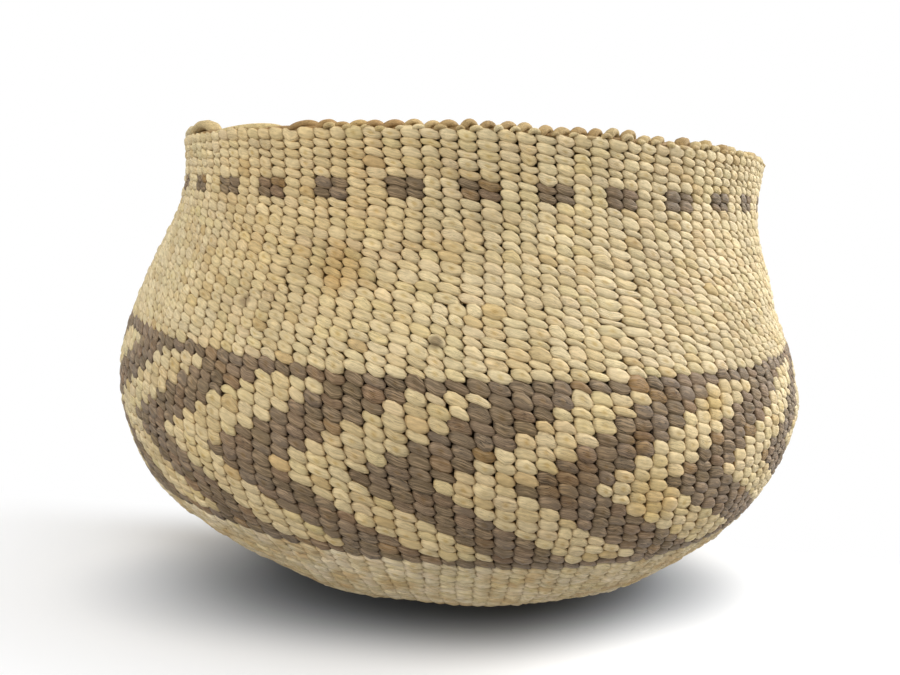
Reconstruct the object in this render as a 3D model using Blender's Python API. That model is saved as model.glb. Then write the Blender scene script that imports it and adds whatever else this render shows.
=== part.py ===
"""Close-twined basketry bowl: flat foot, round belly, drawn-in neck and a low standing rim.

Metres, +Z up. The origin is on the ground under the middle of the foot, and -Y is the front.
A twined wall has three layers. The warps are thin cords that start crossed under the foot and
climb to the rim. Pairs of wefts run round the bowl, and each pair shows one row of stitches, a
course, on the outer face and one on the inner face. The layers are modelled apart here, with the
courses of one colour and one stage of the work as one solid. A place on the wall is an azimuth,
an arc length up the outline from the middle of the foot, and a depth in from the outer face.
"""
import math

import bmesh
import bpy
import numpy as np

MM = 0.001

# Driving dimensions of the outline, in metres
FOOT_RADIUS = 25.6 * MM
BELLY_RADIUS = 75.0 * MM
BELLY_HEIGHT = 40.0 * MM
NECK_RADIUS = 62.4 * MM
NECK_HEIGHT = 83.4 * MM
RIM_RADIUS = 62.6 * MM
RIM_HEIGHT = 90.0 * MM

# How far each curve of the outline runs on before it turns
FOOT_REACH = 25.1 * MM
BELLY_REACH_DOWN = 21.1 * MM
BELLY_REACH_UP = 18.1 * MM
NECK_REACH_DOWN = 16.4 * MM
NECK_REACH_UP = 2.5 * MM

# The outline runs straight on above the wall, where the rim sits
ABOVE_RIM = 8.0 * MM

# The bowl was woven a little higher on its +X side: rise per metre across, at the neck
NECK_TILT = 0.035

# The three layers of the wall, as depths in from the outer face
OUTER_LAYER = 1.1 * MM
WARP_FACE = 1.65 * MM
WARP_RIDGE = 2.35 * MM
INNER_FACE = 3.5 * MM
WALL = 4.4 * MM
GAP = 0.3 * MM

# Counts and pitches of the weave
REPEATS = 19
COLUMNS_PER_REPEAT = 8
WARPS = REPEATS * COLUMNS_PER_REPEAT
NECK_WARPS = 136
SQUARES = NECK_WARPS // 4
DESIGN_COURSES = 15
SHOULDER_COURSES = 17
SQUARE_COURSES = 2
NECK_COURSES = 5
BELLY_PITCH = 1.85 * MM
SHOULDER_PITCH = 1.56 * MM
NECK_PITCH = 1.41 * MM
LOWER_BORDER_HEIGHT = 25.3 * MM

# Azimuths, in degrees: a chevron's tip, a neck square's middle, and how warps lean as they climb
CHEVRON_TIP = -92.4
SQUARE_MIDDLE = -89.4
LEAN_PER_METRE = -85.0

# Facets round the plain courses, and round the start of the foot
ROUND = 48
INNER_ROUND = 36
RIDGED_INNER_ROUND = 32
START_FACETS = 24

# Ridges that the courses make on a face: how high they are, and how many courses share one
RIDGE_HEIGHT = 0.45 * MM
COURSES_PER_RIDGE = 2
UPPER_INNER_RIDGES = 14

LIGHT = (0.60, 0.49, 0.31)
DARK = (0.17, 0.125, 0.095)
WARP_COLOUR = (0.42, 0.33, 0.19)
RIM_COLOUR = (0.40, 0.28, 0.14)


def clear_scene():
    for obj in list(bpy.data.objects):
        bpy.data.objects.remove(obj, do_unlink=True)


def material(name, colour):
    """Dry plant fibre of one colour: rough, not metallic."""
    made = bpy.data.materials.new(name)
    made.use_nodes = True
    shader = made.node_tree.nodes["Principled BSDF"]
    shader.inputs["Base Color"].default_value = (*colour, 1.0)
    shader.inputs["Roughness"].default_value = 0.75
    shader.inputs["Metallic"].default_value = 0.0
    return made


# The outline

# Points across the flat part of the foot
FOOT_POINTS = 20


def bezier(start, leave, arrive, end, steps=80):
    """Points of the cubic curve from start to end, pulled towards leave and arrive."""
    t = np.linspace(0.0, 1.0, steps)[:, None]
    s = 1.0 - t
    start, leave, arrive, end = (np.array(point) for point in (start, leave, arrive, end))
    return s**3 * start + 3 * t * s**2 * leave + 3 * t**2 * s * arrive + t**3 * end


def outline():
    """(arc length, radius, height) along the outer face, from the middle of the foot past the rim."""
    foot = (FOOT_RADIUS, 0.0)
    belly = (BELLY_RADIUS, BELLY_HEIGHT)
    neck = (NECK_RADIUS, NECK_HEIGHT)
    rim = (RIM_RADIUS, RIM_HEIGHT)
    past_foot = (FOOT_RADIUS + FOOT_REACH, 0.0)
    below_belly = (BELLY_RADIUS, BELLY_HEIGHT - BELLY_REACH_DOWN)
    above_belly = (BELLY_RADIUS, BELLY_HEIGHT + BELLY_REACH_UP)
    below_neck = (NECK_RADIUS, NECK_HEIGHT - NECK_REACH_DOWN)
    above_neck = (NECK_RADIUS, NECK_HEIGHT + NECK_REACH_UP)
    below_rim = (RIM_RADIUS, RIM_HEIGHT - NECK_REACH_UP)
    run_on = (RIM_RADIUS, RIM_HEIGHT + ABOVE_RIM)
    points = np.concatenate([
        np.linspace((0.0, 0.0), foot, FOOT_POINTS),
        bezier(foot, past_foot, below_belly, belly)[1:],
        bezier(belly, above_belly, below_neck, neck)[1:],
        bezier(neck, above_neck, below_rim, rim)[1:],
        [run_on],
    ])
    arc = np.concatenate([[0.0], np.cumsum(np.hypot(*np.diff(points, axis=0).T))])
    return arc, points[:, 0], points[:, 1]


ARC, RADIUS, HEIGHT = outline()

# Arc lengths of the edges between the bands, from the foot up
LOWER_BORDER_MIDDLE = float(np.interp(LOWER_BORDER_HEIGHT, HEIGHT[FOOT_POINTS:], ARC[FOOT_POINTS:]))
DESIGN_LOW = LOWER_BORDER_MIDDLE + BELLY_PITCH / 2
DESIGN_MIDDLE = DESIGN_LOW + BELLY_PITCH * DESIGN_COURSES / 2
DESIGN_HIGH = DESIGN_LOW + BELLY_PITCH * DESIGN_COURSES
BAND_LOW = DESIGN_LOW - BELLY_PITCH
BAND_HIGH = DESIGN_HIGH + BELLY_PITCH
SQUARES_LOW = BAND_HIGH + SHOULDER_PITCH * SHOULDER_COURSES
SQUARES_HIGH = SQUARES_LOW + NECK_PITCH * SQUARE_COURSES
NECK_HIGH = SQUARES_HIGH + NECK_PITCH * NECK_COURSES
BASE_HIGH = 34.0 * MM
START_RADIUS = 6.0 * MM

# How far each way along the outline its direction is read
READ_STEP = 0.2 * MM


def neck_tilt(arc):
    """Rise per metre towards +X: none at the lower border, full at the neck, quickest at first."""
    climb = (arc - LOWER_BORDER_MIDDLE) / (SQUARES_LOW - LOWER_BORDER_MIDDLE)
    return NECK_TILT * math.sin(math.pi / 2 * min(max(climb, 0.0), 1.0))


def wall_point(azimuth, arc, depth):
    """The place at an azimuth in degrees, an arc length up the outline and a depth into the wall."""
    low, high = max(arc - READ_STEP, 0.0), min(arc + READ_STEP, ARC[-1])
    out_r = np.interp(high, ARC, RADIUS) - np.interp(low, ARC, RADIUS)
    out_z = np.interp(high, ARC, HEIGHT) - np.interp(low, ARC, HEIGHT)
    length = math.hypot(out_r, out_z)
    radius = np.interp(arc, ARC, RADIUS) - depth * out_z / length
    height = np.interp(arc, ARC, HEIGHT) + depth * out_r / length
    if arc == 0.0:
        radius = 0.0
    angle = math.radians(azimuth)
    x = radius * math.cos(angle)
    return (x, radius * math.sin(angle), height + neck_tilt(arc) * x)


def belly_azimuth(column, arc):
    """Azimuth of a column edge of the design. Columns count to the right from a chevron's tip."""
    return CHEVRON_TIP + column * 360.0 / WARPS + LEAN_PER_METRE * (arc - DESIGN_MIDDLE)


def neck_azimuth(column, arc):
    """Azimuth of a column edge at the neck. Columns count to the right from a square's middle."""
    return SQUARE_MIDDLE + column * 360.0 / NECK_WARPS + LEAN_PER_METRE * (arc - SQUARES_LOW)


# Solids from faces on the wall

# Degrees added before an azimuth is rounded, so that no shared corner falls on a rounding tie
NO_TIE = 0.000013

# An edge that turns more than this many degrees is drawn sharp
SHARP_TURN = 35.0


class WallMesh:
    """Collects faces whose corners are (azimuth, arc, depth), and makes one closed object."""

    def __init__(self):
        self.corners = {}
        self.faces = []

    def corner(self, azimuth, arc, depth):
        around = 0.0 if arc == 0.0 else round((azimuth + NO_TIE) % 360.0, 4) % 360.0
        key = (around, round(arc / MM, 4), round(depth / MM, 4))
        return self.corners.setdefault(key, (len(self.corners), (azimuth, arc, depth)))[0]

    def face(self, *places):
        self.faces.append([self.corner(*place) for place in places])

    def key(self, cell, depth):
        """The sorted corners of a cell's face at a depth, which name that face."""
        return tuple(sorted(self.corner(azimuth, arc, depth) for azimuth, arc in cell))

    def make(self, name, colour):
        mesh = bpy.data.meshes.new(name)
        points = [wall_point(*place) for _, place in self.corners.values()]
        mesh.from_pydata(points, [], self.faces)
        worker = bmesh.new()
        worker.from_mesh(mesh)
        bmesh.ops.recalc_face_normals(worker, faces=worker.faces)
        worker.to_mesh(mesh)
        worker.free()
        mesh.shade_smooth()
        mesh.set_sharp_from_angle(angle=math.radians(SHARP_TURN))
        obj = bpy.data.objects.new(name, mesh)
        bpy.context.scene.collection.objects.link(obj)
        mesh.materials.append(material(name, colour))
        return obj


def halves(cell):
    """A four-sided cell cut in two along its diagonal of least azimuth, which bends the least."""
    if len(cell) == 3:
        return [cell]
    a, b, c, d = cell
    if abs(a[0] - c[0]) < abs(b[0] - d[0]):
        return [[a, b, c], [a, c, d]]
    return [[a, b, d], [b, c, d]]


def add_slab(wall, cells, outer, inner):
    """Both faces of a slab of cells, and a side wall along each edge that only one cell has.

    A cell is a list of (azimuth, arc) corners in order round it.
    """
    edges = {}
    for cell in [half for cell in cells for half in halves(cell)]:
        wall.face(*[(azimuth, arc, outer) for azimuth, arc in cell])
        wall.face(*[(azimuth, arc, inner) for azimuth, arc in reversed(cell)])
        for first, second in zip(cell, cell[1:] + cell[:1]):
            ends = frozenset((wall.corner(*first, outer), wall.corner(*second, outer)))
            edges.setdefault(ends, []).append((first, second))
    for (first, second), *others in edges.values():
        if not others:
            wall.face((*second, outer), (*first, outer), (*first, inner), (*second, inner))


def ring_cells(low, high, levels, count):
    """Cells all the way round between two arc lengths."""
    arcs = np.linspace(low, high, levels + 1)
    turn = 360.0 / count
    return [
        [(turn * k, a), (turn * (k + 1), a), (turn * (k + 1), b), (turn * k, b)]
        for a, b in zip(arcs[:-1], arcs[1:])
        for k in range(count)
    ]


def ring(name, low, high, levels, count, outer, inner, colour):
    """Courses that go all the way round, as one ring with the gap to its neighbours taken off."""
    wall = WallMesh()
    add_slab(wall, ring_cells(low + GAP / 2, high - GAP / 2, levels, count), outer, inner)
    return wall.make(name, colour)


def disc(name, high, levels, count, outer, inner, colour):
    """Courses round the middle of the foot, closed at the centre."""
    wall = WallMesh()
    first = high / levels
    turn = 360.0 / count
    cells = [[(0.0, 0.0), (turn * k, first), (turn * (k + 1), first)] for k in range(count)]
    if levels > 1:
        cells += ring_cells(first, high, levels - 1, count)
    add_slab(wall, cells, outer, inner)
    return wall.make(name, colour)


def ridged_ring(name, low, high, ridges, levels, count, crest, back, colour):
    """Courses that go all the way round, with ridges on the face that shows and a smooth back."""
    wall = WallMesh()
    low, high = low + GAP / 2, high - GAP / 2
    groove = crest + math.copysign(RIDGE_HEIGHT, back - crest)
    arcs = np.linspace(low, high, 2 * ridges + 1)
    depths = [groove, crest] * ridges + [groove]
    steps = list(zip(arcs[:-1], arcs[1:], depths[:-1], depths[1:]))
    back_arcs = np.linspace(low, high, levels + 1)
    steps += [(above, below, back, back) for below, above in zip(back_arcs[:-1], back_arcs[1:])]
    steps += [(low, low, back, groove), (high, high, groove, back)]
    turn = 360.0 / count
    for left, right in [(turn * k, turn * (k + 1)) for k in range(count)]:
        for arc, next_arc, depth, next_depth in steps:
            wall.face(
                (left, arc, depth), (right, arc, depth),
                (right, next_arc, next_depth), (left, next_arc, next_depth),
            )
    return wall.make(name, colour)


# The warps

# Arc lengths of the hub, the two forks, and the ends of the straight runs above them
HUB = 7.0 * MM
FIRST_FORK = 17.0 * MM
SECOND_FORK = 31.0 * MM
CLIMB = [arc * MM for arc in (47.0, 63.0, 79.0, 95.0, 112.0, 129.0)] + [NECK_HIGH - GAP]
HOLLOW_LOW = 120.0 * MM
NECK_SETBACK = 0.8 * MM
HUB_WIDTH = 0.7 * MM
FORK_WIDTH = 1.5 * MM
WARP_WIDTH = 1.6 * MM
WARP_SHARE_OF_COLUMN = 0.55

# Where the first warp of the design reaches the neck, in neck columns from a square's middle
FIRST_NECK_COLUMN = -1.5


def warp_azimuth(warp, arc):
    """Azimuth of a warp: evenly spaced at the belly, then drawn to the even spacing of the neck."""
    low = belly_azimuth(warp + 0.5, arc)
    kept = warp * NECK_WARPS // WARPS
    high = neck_azimuth(kept + FIRST_NECK_COLUMN, arc)
    climb = min(max((arc - BAND_HIGH) / (SQUARES_LOW - BAND_HIGH), 0.0), 1.0)
    ease = climb * climb * (3.0 - 2.0 * climb)
    return low + (high - low) * ease


def is_dropped(warp):
    """True for a warp that is cut off in the shoulder, where two columns become one."""
    return warp > 0 and warp * NECK_WARPS // WARPS == (warp - 1) * NECK_WARPS // WARPS


def warp_section(azimuth, arc, width):
    """Left, right and ridge of a warp's three-sided section.

    In the hollow of the neck a straight run of warp comes out towards the stitches, so its ends
    are set deeper there.
    """
    half = math.degrees(width / 2 / np.interp(arc, ARC, RADIUS))
    setback = NECK_SETBACK if arc > HOLLOW_LOW else 0.0
    return [
        (azimuth - half, arc, WARP_FACE + setback),
        (azimuth + half, arc, WARP_FACE + setback),
        (azimuth, arc, WARP_RIDGE + setback),
    ]


def add_run(wall, low, high, mid=None):
    """The three sides of a warp between two sections. mid splits the face that a fork widens."""
    left, right, ridge = low
    left_up, right_up, ridge_up = high
    face = [left, right, right_up, left_up]
    if mid:
        face.insert(3, mid)
    wall.face(*face)
    wall.face(right, ridge, ridge_up, right_up)
    wall.face(ridge, left, left_up, ridge_up)


def fork(section):
    """The left and right half of a section, which share its middle edge."""
    left, right, ridge = section
    mid = ((left[0] + right[0]) / 2, left[1], left[2])
    return [left, mid, ridge], [mid, right, ridge], mid


def pair_azimuth(first, second):
    return (warp_azimuth(first, SECOND_FORK) + warp_azimuth(second, SECOND_FORK)) / 2


def warps():
    """All warps as one solid: crossed in the middle, doubled twice across the foot, then climbing."""
    wall = WallMesh()
    hub = []
    for ray in range(WARPS // 4):
        middle = pair_azimuth(4 * ray + 1, 4 * ray + 2)
        start = warp_section(middle, HUB, HUB_WIDTH)
        hub.append(start)
        end = warp_section(middle, FIRST_FORK, FORK_WIDTH)
        left_half, right_half, mid = fork(end)
        add_run(wall, start, end, mid)
        add_pair(wall, left_half, 4 * ray)
        add_pair(wall, right_half, 4 * ray + 2)
    wall.face(*[ridge for left, right, ridge in hub])
    wall.face(*[place for left, right, ridge in hub for place in (left, right)])
    for here, after in zip(hub, hub[1:] + hub[:1]):
        wall.face(here[1], after[0], after[2], here[2])
    return wall.make("warps", WARP_COLOUR)


def add_pair(wall, start, warp):
    """One warp of the foot, up to its fork, and the two that climb from there."""
    end = warp_section(pair_azimuth(warp, warp + 1), SECOND_FORK, FORK_WIDTH)
    left_half, right_half, mid = fork(end)
    add_run(wall, start, end, mid)
    add_climb(wall, left_half, warp)
    add_climb(wall, right_half, warp + 1)


def add_climb(wall, start, warp):
    """One warp from the foot to its end, which is at the rim or, when dropped, in the shoulder."""
    below = start
    for arc in [climb for climb in CLIMB if climb < HOLLOW_LOW or not is_dropped(warp)]:
        here = warp_section(warp_azimuth(warp, arc), arc, warp_width(arc))
        add_run(wall, below, here)
        below = here
    wall.face(*reversed(below))


def warp_width(arc):
    """A little over half of a column, up to the full width of a warp cord."""
    pitch = 2 * math.pi * np.interp(arc, ARC, RADIUS) / WARPS
    return min(WARP_SHARE_OF_COLUMN * pitch, WARP_WIDTH)


# The dark and light design round the belly

LIMB_COLUMNS = COLUMNS_PER_REPEAT // 2
HALF_DESIGN = DESIGN_COURSES / 2
LIMB_LEVELS = (-HALF_DESIGN, -4.0, 0.0, 4.0, HALF_DESIGN)
LIMB_GAP_COLUMNS = 0.2


def limb_cells(first, last, end_gap=0.0):
    """Cells of one chevron: each course above or below the tip moves one column to the right."""
    cells = []
    for low, high in zip(LIMB_LEVELS[:-1], LIMB_LEVELS[1:]):
        corners = []
        for course, column in ((low, first), (low, last), (high, last), (high, first)):
            arc = DESIGN_MIDDLE + course * BELLY_PITCH
            arc -= math.copysign(end_gap, course) if abs(course) == HALF_DESIGN else 0.0
            corners.append((belly_azimuth(column + abs(course), arc), arc))
        cells.append(corners)
    return cells


def light_chevrons():
    """The light wefts of the design: one chevron for each repeat, its tip to the left."""
    for repeat in range(REPEATS):
        wall = WallMesh()
        first = repeat * COLUMNS_PER_REPEAT + LIMB_GAP_COLUMNS
        cells = limb_cells(first, first + LIMB_COLUMNS - 2 * LIMB_GAP_COLUMNS, GAP)
        add_slab(wall, cells, 0.0, OUTER_LAYER)
        wall.make(f"light_chevron_{repeat + 1:02d}", LIGHT)


def dark_design():
    """The dark wefts: the two border courses and the dark chevrons that join them, as one band."""
    wall = WallMesh()
    cells = []
    for repeat in range(REPEATS):
        first = repeat * COLUMNS_PER_REPEAT + LIMB_COLUMNS
        last = first + LIMB_COLUMNS
        following = first + COLUMNS_PER_REPEAT
        cells += limb_cells(first, last)
        columns = [column + HALF_DESIGN for column in (first, last, following)]
        borders = ((DESIGN_LOW, BAND_LOW + GAP / 2), (DESIGN_HIGH, BAND_HIGH - GAP / 2))
        for inside, outside in borders:
            for left, right in zip(columns[:-1], columns[1:]):
                cells.append([
                    (belly_azimuth(left, inside), inside),
                    (belly_azimuth(right, inside), inside),
                    (belly_azimuth(right, inside), outside),
                    (belly_azimuth(left, inside), outside),
                ])
    add_slab(wall, cells, 0.0, OUTER_LAYER)
    return wall.make("dark_design_courses", DARK)


# The dark squares round the neck

CARRIED_DEPTH = 0.75 * MM
FRAME_DEPTH = 0.45 * MM


def square_band(half_width, low, high):
    """Cells round the band, as (cell, True where a square is)."""
    band_low = SQUARES_LOW - SHOULDER_PITCH + GAP / 2
    band_high = SQUARES_HIGH + NECK_PITCH - GAP / 2
    arcs = [band_low, low, high, band_high]
    cells = []
    for square in range(SQUARES):
        columns = [4 * square - half_width, 4 * square + half_width, 4 * square + 4 - half_width]
        azimuths = [neck_azimuth(column, SQUARES_LOW) for column in columns]
        for row, (a, b) in enumerate(zip(arcs[:-1], arcs[1:])):
            for place, (left, right) in enumerate(zip(azimuths[:-1], azimuths[1:])):
                cell = [(left, a), (right, a), (right, b), (left, b)]
                cells.append((cell, row == 1 and place == 0))
    return cells


def neck_light_courses():
    """The light weft in front, with a window at each dark square."""
    wall = WallMesh()
    cells = square_band(1.0, SQUARES_LOW, SQUARES_HIGH)
    add_slab(wall, [cell for cell, square in cells if not square], 0.0, FRAME_DEPTH)
    return wall.make("neck_light_courses", LIGHT)


def neck_dark_squares():
    """The dark weft, carried round behind the light one, comes forward through each window."""
    wall = WallMesh()
    play = GAP / (2 * math.pi * NECK_RADIUS / NECK_WARPS)
    cells = square_band(1.0 - play, SQUARES_LOW + GAP, SQUARES_HIGH - GAP)
    add_slab(wall, [cell for cell, square in cells], CARRIED_DEPTH, OUTER_LAYER)
    squares = [cell for cell, square in cells if square]
    covered = {wall.key(half, CARRIED_DEPTH) for cell in squares for half in halves(cell)}
    wall.faces = [face for face in wall.faces if tuple(sorted(face)) not in covered]
    for cell in squares:
        wall.face(*[(azimuth, arc, 0.0) for azimuth, arc in cell])
        for first, second in zip(cell, cell[1:] + cell[:1]):
            back = [(*first, CARRIED_DEPTH), (*second, CARRIED_DEPTH)]
            wall.face((*first, 0.0), *back, (*second, 0.0))
    return wall.make("neck_dark_squares", DARK)


# The rim

RIM_FACETS = 48
BEAD_SIDES = 6
RIM_HALF_HEIGHT = 1.0 * MM
RIM_HALF_DEPTH = 2.4 * MM
RIM_FOOT = NECK_HIGH + GAP / 2
TAIL_AZIMUTHS = (-160.0, -136.0)
TAIL_STATIONS = 10
TAIL_HALF_HEIGHT = 0.75 * MM
TAIL_HALF_DEPTH = 1.5 * MM

# Under the tail the rim is pressed down to this half height, up to a facet beyond its ends
SEAT_HALF_HEIGHT = 0.6 * MM
SEAT_MARGIN = 5.5

# Share of its full thickness that the tail has at each end, and how far its swell leans forward
TAIL_END_SHARE = 0.25
TAIL_LEAN = 2.6

# Height of a bead's flat top above its middle, as a share of its half height
BEAD_FLAT = math.sin(math.tau / BEAD_SIDES)


def bead_section(azimuth, arc, half_height, half_depth):
    """One six-sided section of a bead, flat below and above, centred in the wall."""
    turns = [math.tau * k / BEAD_SIDES for k in range(BEAD_SIDES)]
    return [
        (azimuth, arc + half_height * math.sin(turn), WALL / 2 + half_depth * math.cos(turn))
        for turn in turns
    ]


def add_bead_side(wall, here, after):
    for k in range(BEAD_SIDES):
        n = (k + 1) % BEAD_SIDES
        wall.face(here[k], after[k], after[n], here[n])


def rim_half_height(azimuth):
    """The rim is lower where the tail of its lashing lies on it."""
    low, high = TAIL_AZIMUTHS[0] - SEAT_MARGIN, TAIL_AZIMUTHS[1] + SEAT_MARGIN
    return SEAT_HALF_HEIGHT if low <= azimuth <= high else RIM_HALF_HEIGHT


def rim_course():
    """The warp ends, turned down and lashed: a bead that covers the top edge of all three layers."""
    wall = WallMesh()
    sections = []
    for k in range(RIM_FACETS):
        azimuth = 360.0 * k / RIM_FACETS - 180.0
        half_height = rim_half_height(azimuth)
        arc = RIM_FOOT + half_height * BEAD_FLAT
        sections.append(bead_section(azimuth, arc, half_height, RIM_HALF_DEPTH))
    for here, after in zip(sections, sections[1:] + sections[:1]):
        add_bead_side(wall, here, after)
    return wall.make("rim_course", RIM_COLOUR)


def rim_tail():
    """The end of the lashing, laid along the top of the rim: it swells slowly and ends short."""
    wall = WallMesh()
    seat_top = RIM_FOOT + 2 * SEAT_HALF_HEIGHT * BEAD_FLAT
    sections = []
    for along in np.linspace(0.0, 1.0, TAIL_STATIONS):
        azimuth = TAIL_AZIMUTHS[0] + (TAIL_AZIMUTHS[1] - TAIL_AZIMUTHS[0]) * along
        swell = TAIL_END_SHARE + (1.0 - TAIL_END_SHARE) * math.sin(math.pi * along**TAIL_LEAN)
        half_height = TAIL_HALF_HEIGHT * swell
        arc = seat_top + GAP + half_height * BEAD_FLAT
        sections.append(bead_section(azimuth, arc, half_height, TAIL_HALF_DEPTH * swell))
    for here, after in zip(sections[:-1], sections[1:]):
        add_bead_side(wall, here, after)
    wall.face(*sections[0])
    wall.face(*reversed(sections[-1]))
    return wall.make("rim_tail", RIM_COLOUR)


def main():
    clear_scene()
    warps()
    face = dict(outer=0.0, inner=OUTER_LAYER, colour=LIGHT)
    disc("start_outer_courses", START_RADIUS - GAP / 2, 1, START_FACETS, **face)
    ring("base_outer_courses", START_RADIUS, BASE_HIGH, 2, ROUND, **face)
    ring("lower_outer_courses", BASE_HIGH, BAND_LOW, 4, ROUND, **face)
    dark_design()
    light_chevrons()
    shoulder_ridges = SHOULDER_COURSES // COURSES_PER_RIDGE
    shoulder = (BAND_HIGH, SQUARES_LOW - SHOULDER_PITCH)
    ridged_ring("shoulder_outer_courses", *shoulder, shoulder_ridges, 4, ROUND, 0.0, OUTER_LAYER, LIGHT)
    neck_light_courses()
    neck_dark_squares()
    ring("neck_outer_courses", SQUARES_HIGH + NECK_PITCH, NECK_HIGH, 1, ROUND, **face)
    lining = dict(outer=INNER_FACE, inner=WALL, colour=LIGHT)
    disc("base_inner_courses", BASE_HIGH - GAP / 2, 2, INNER_ROUND, **lining)
    ring("lower_inner_courses", BASE_HIGH, DESIGN_MIDDLE, 4, INNER_ROUND, **lining)
    upper = (DESIGN_MIDDLE, NECK_HIGH)
    ridged_ring("upper_inner_courses", *upper, UPPER_INNER_RIDGES, 8, RIDGED_INNER_ROUND, WALL, INNER_FACE, LIGHT)
    rim_course()
    rim_tail()


main()
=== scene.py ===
# %% [markdown]
# # A close-twined bowl, stitch by stitch
#
# The object is a small basketry bowl. Thin cords, the warps, run from the middle of the foot up
# to the rim. Round them go pairs of wefts: at each warp one weft passes in front and the other
# behind, and between two warps they change places. So every warp shows one slanting stitch in
# every course, and the stitches stand in columns. This lesson builds that structure itself,
# instead of a smooth pot with a picture of a weave on it, so the grooves, the ragged outline and
# the steps of the pattern come from the shape.

# %% Load the frame
import math

import bpy
import numpy as np
from mathutils import Matrix


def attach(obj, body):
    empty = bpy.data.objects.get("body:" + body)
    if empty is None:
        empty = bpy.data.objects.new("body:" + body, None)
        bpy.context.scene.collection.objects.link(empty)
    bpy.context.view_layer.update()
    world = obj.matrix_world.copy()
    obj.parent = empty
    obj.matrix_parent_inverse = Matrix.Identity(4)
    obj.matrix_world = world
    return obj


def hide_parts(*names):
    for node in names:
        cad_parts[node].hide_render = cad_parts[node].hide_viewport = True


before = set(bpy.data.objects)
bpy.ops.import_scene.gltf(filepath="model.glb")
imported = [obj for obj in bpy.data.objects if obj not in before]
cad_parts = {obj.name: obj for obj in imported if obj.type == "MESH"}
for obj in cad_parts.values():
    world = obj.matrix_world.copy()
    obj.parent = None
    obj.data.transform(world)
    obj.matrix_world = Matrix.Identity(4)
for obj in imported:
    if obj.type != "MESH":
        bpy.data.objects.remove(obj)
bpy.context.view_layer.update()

print("nodes in the frame:", len(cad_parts))

# %% [markdown]
# ## Measures
#
# Everything is in metres, so a millimetre is named once. The outline is given by five places
# along it and by how far each curve runs on before it turns, which is how a potter or a weaver
# would describe it: a flat foot, a belly, a drawn-in neck, a low standing rim.
#
# Places round the bowl are azimuths in degrees. They count from +X towards +Y, so the right side
# of the bowl is at 0 and its front at -90.

# %% The bowl's outline and wall
MM = 0.001
FOOT = (25.6 * MM, 0.0)
BELLY = (75.0 * MM, 40.0 * MM)
NECK = (62.4 * MM, 83.4 * MM)
RIM = (62.6 * MM, 90.0 * MM)
ABOVE_RIM = 8.0 * MM
FOOT_REACH = 25.1 * MM
BELLY_REACH_DOWN = 21.1 * MM
BELLY_REACH_UP = 18.1 * MM
NECK_REACH_DOWN = 16.4 * MM
NECK_REACH_UP = 2.5 * MM
NECK_TILT = 0.035
WALL = 4.4 * MM

# %% Counts and pitches of the weave
WARPS = 152
NECK_WARPS = 136
CHEVRON_REPEAT = 8
SQUARE_REPEAT = 4
DESIGN_COURSES = 15
SHOULDER_COURSES = 17
SQUARE_COURSES = 2
NECK_COURSES = 5
BELLY_PITCH = 1.85 * MM
SHOULDER_PITCH = 1.56 * MM
NECK_PITCH = 1.41 * MM
LOWER_BORDER_HEIGHT = 25.3 * MM
CHEVRON_TIP = -92.4
SQUARE_MIDDLE = -89.4
LEAN_PER_METRE = -85.0
print("stitch at the belly, mm:", round(math.tau * BELLY[0] / WARPS / MM, 2), "by", BELLY_PITCH / MM)

# %% [markdown]
# ## The outline
#
# One side of the bowl, seen in section, is a flat line and three cubic curves, and it runs on
# straight above the rim, where the knuckles stand. It is turned into a table of arc length,
# radius and height. Every place on the wall is then named by an azimuth, an arc length up the
# outline from the middle of the foot, and a depth in from the outer face. These are a weaver's
# own coordinates: along a course, up a warp, through the wall.


# %% Outline of the outer face
def curve(start, leave, arrive, end, steps=160):
    """Cubic curve: the four points, weighted by (1-t)^3, 3t(1-t)^2, 3t^2(1-t) and t^3."""
    t = np.linspace(0.0, 1.0, steps)[:, None]
    s = 1.0 - t
    start, leave, arrive, end = (np.array(point) for point in (start, leave, arrive, end))
    return s**3 * start + 3 * t * s**2 * leave + 3 * t**2 * s * arrive + t**3 * end


profile = np.concatenate([
    np.linspace((0.0, 0.0), FOOT, 60),
    curve(FOOT, (FOOT[0] + FOOT_REACH, 0.0), (BELLY[0], BELLY[1] - BELLY_REACH_DOWN), BELLY)[1:],
    curve(BELLY, (BELLY[0], BELLY[1] + BELLY_REACH_UP), (NECK[0], NECK[1] - NECK_REACH_DOWN), NECK)[1:],
    curve(NECK, (NECK[0], NECK[1] + NECK_REACH_UP), (RIM[0], RIM[1] - NECK_REACH_UP), RIM)[1:],
    [(RIM[0], RIM[1] + ABOVE_RIM)],
])
ARC = np.concatenate([[0.0], np.cumsum(np.hypot(*np.diff(profile, axis=0).T))])
RADIUS, HEIGHT = profile.T
OUT_R, OUT_Z = np.gradient(RADIUS, ARC), np.gradient(HEIGHT, ARC)
print("outline from foot to rim, mm:", round((ARC[-1] - ABOVE_RIM) / MM, 1))

# %% Arc lengths of the edges between the bands
rising = HEIGHT > 0.0
lower_border = float(np.interp(LOWER_BORDER_HEIGHT, HEIGHT[rising], ARC[rising]))
DESIGN_LOW = lower_border + BELLY_PITCH / 2
DESIGN_MIDDLE = DESIGN_LOW + BELLY_PITCH * DESIGN_COURSES / 2
DESIGN_HIGH = DESIGN_LOW + BELLY_PITCH * DESIGN_COURSES
BAND_LOW = DESIGN_LOW - BELLY_PITCH
BAND_HIGH = DESIGN_HIGH + BELLY_PITCH
SQUARES_LOW = BAND_HIGH + SHOULDER_PITCH * SHOULDER_COURSES
SQUARES_HIGH = SQUARES_LOW + NECK_PITCH * SQUARE_COURSES
NECK_HIGH = SQUARES_HIGH + NECK_PITCH * NECK_COURSES
print("bands end at, mm:", [round(a / MM, 1) for a in (BAND_LOW, BAND_HIGH, SQUARES_LOW, NECK_HIGH)])


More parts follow.
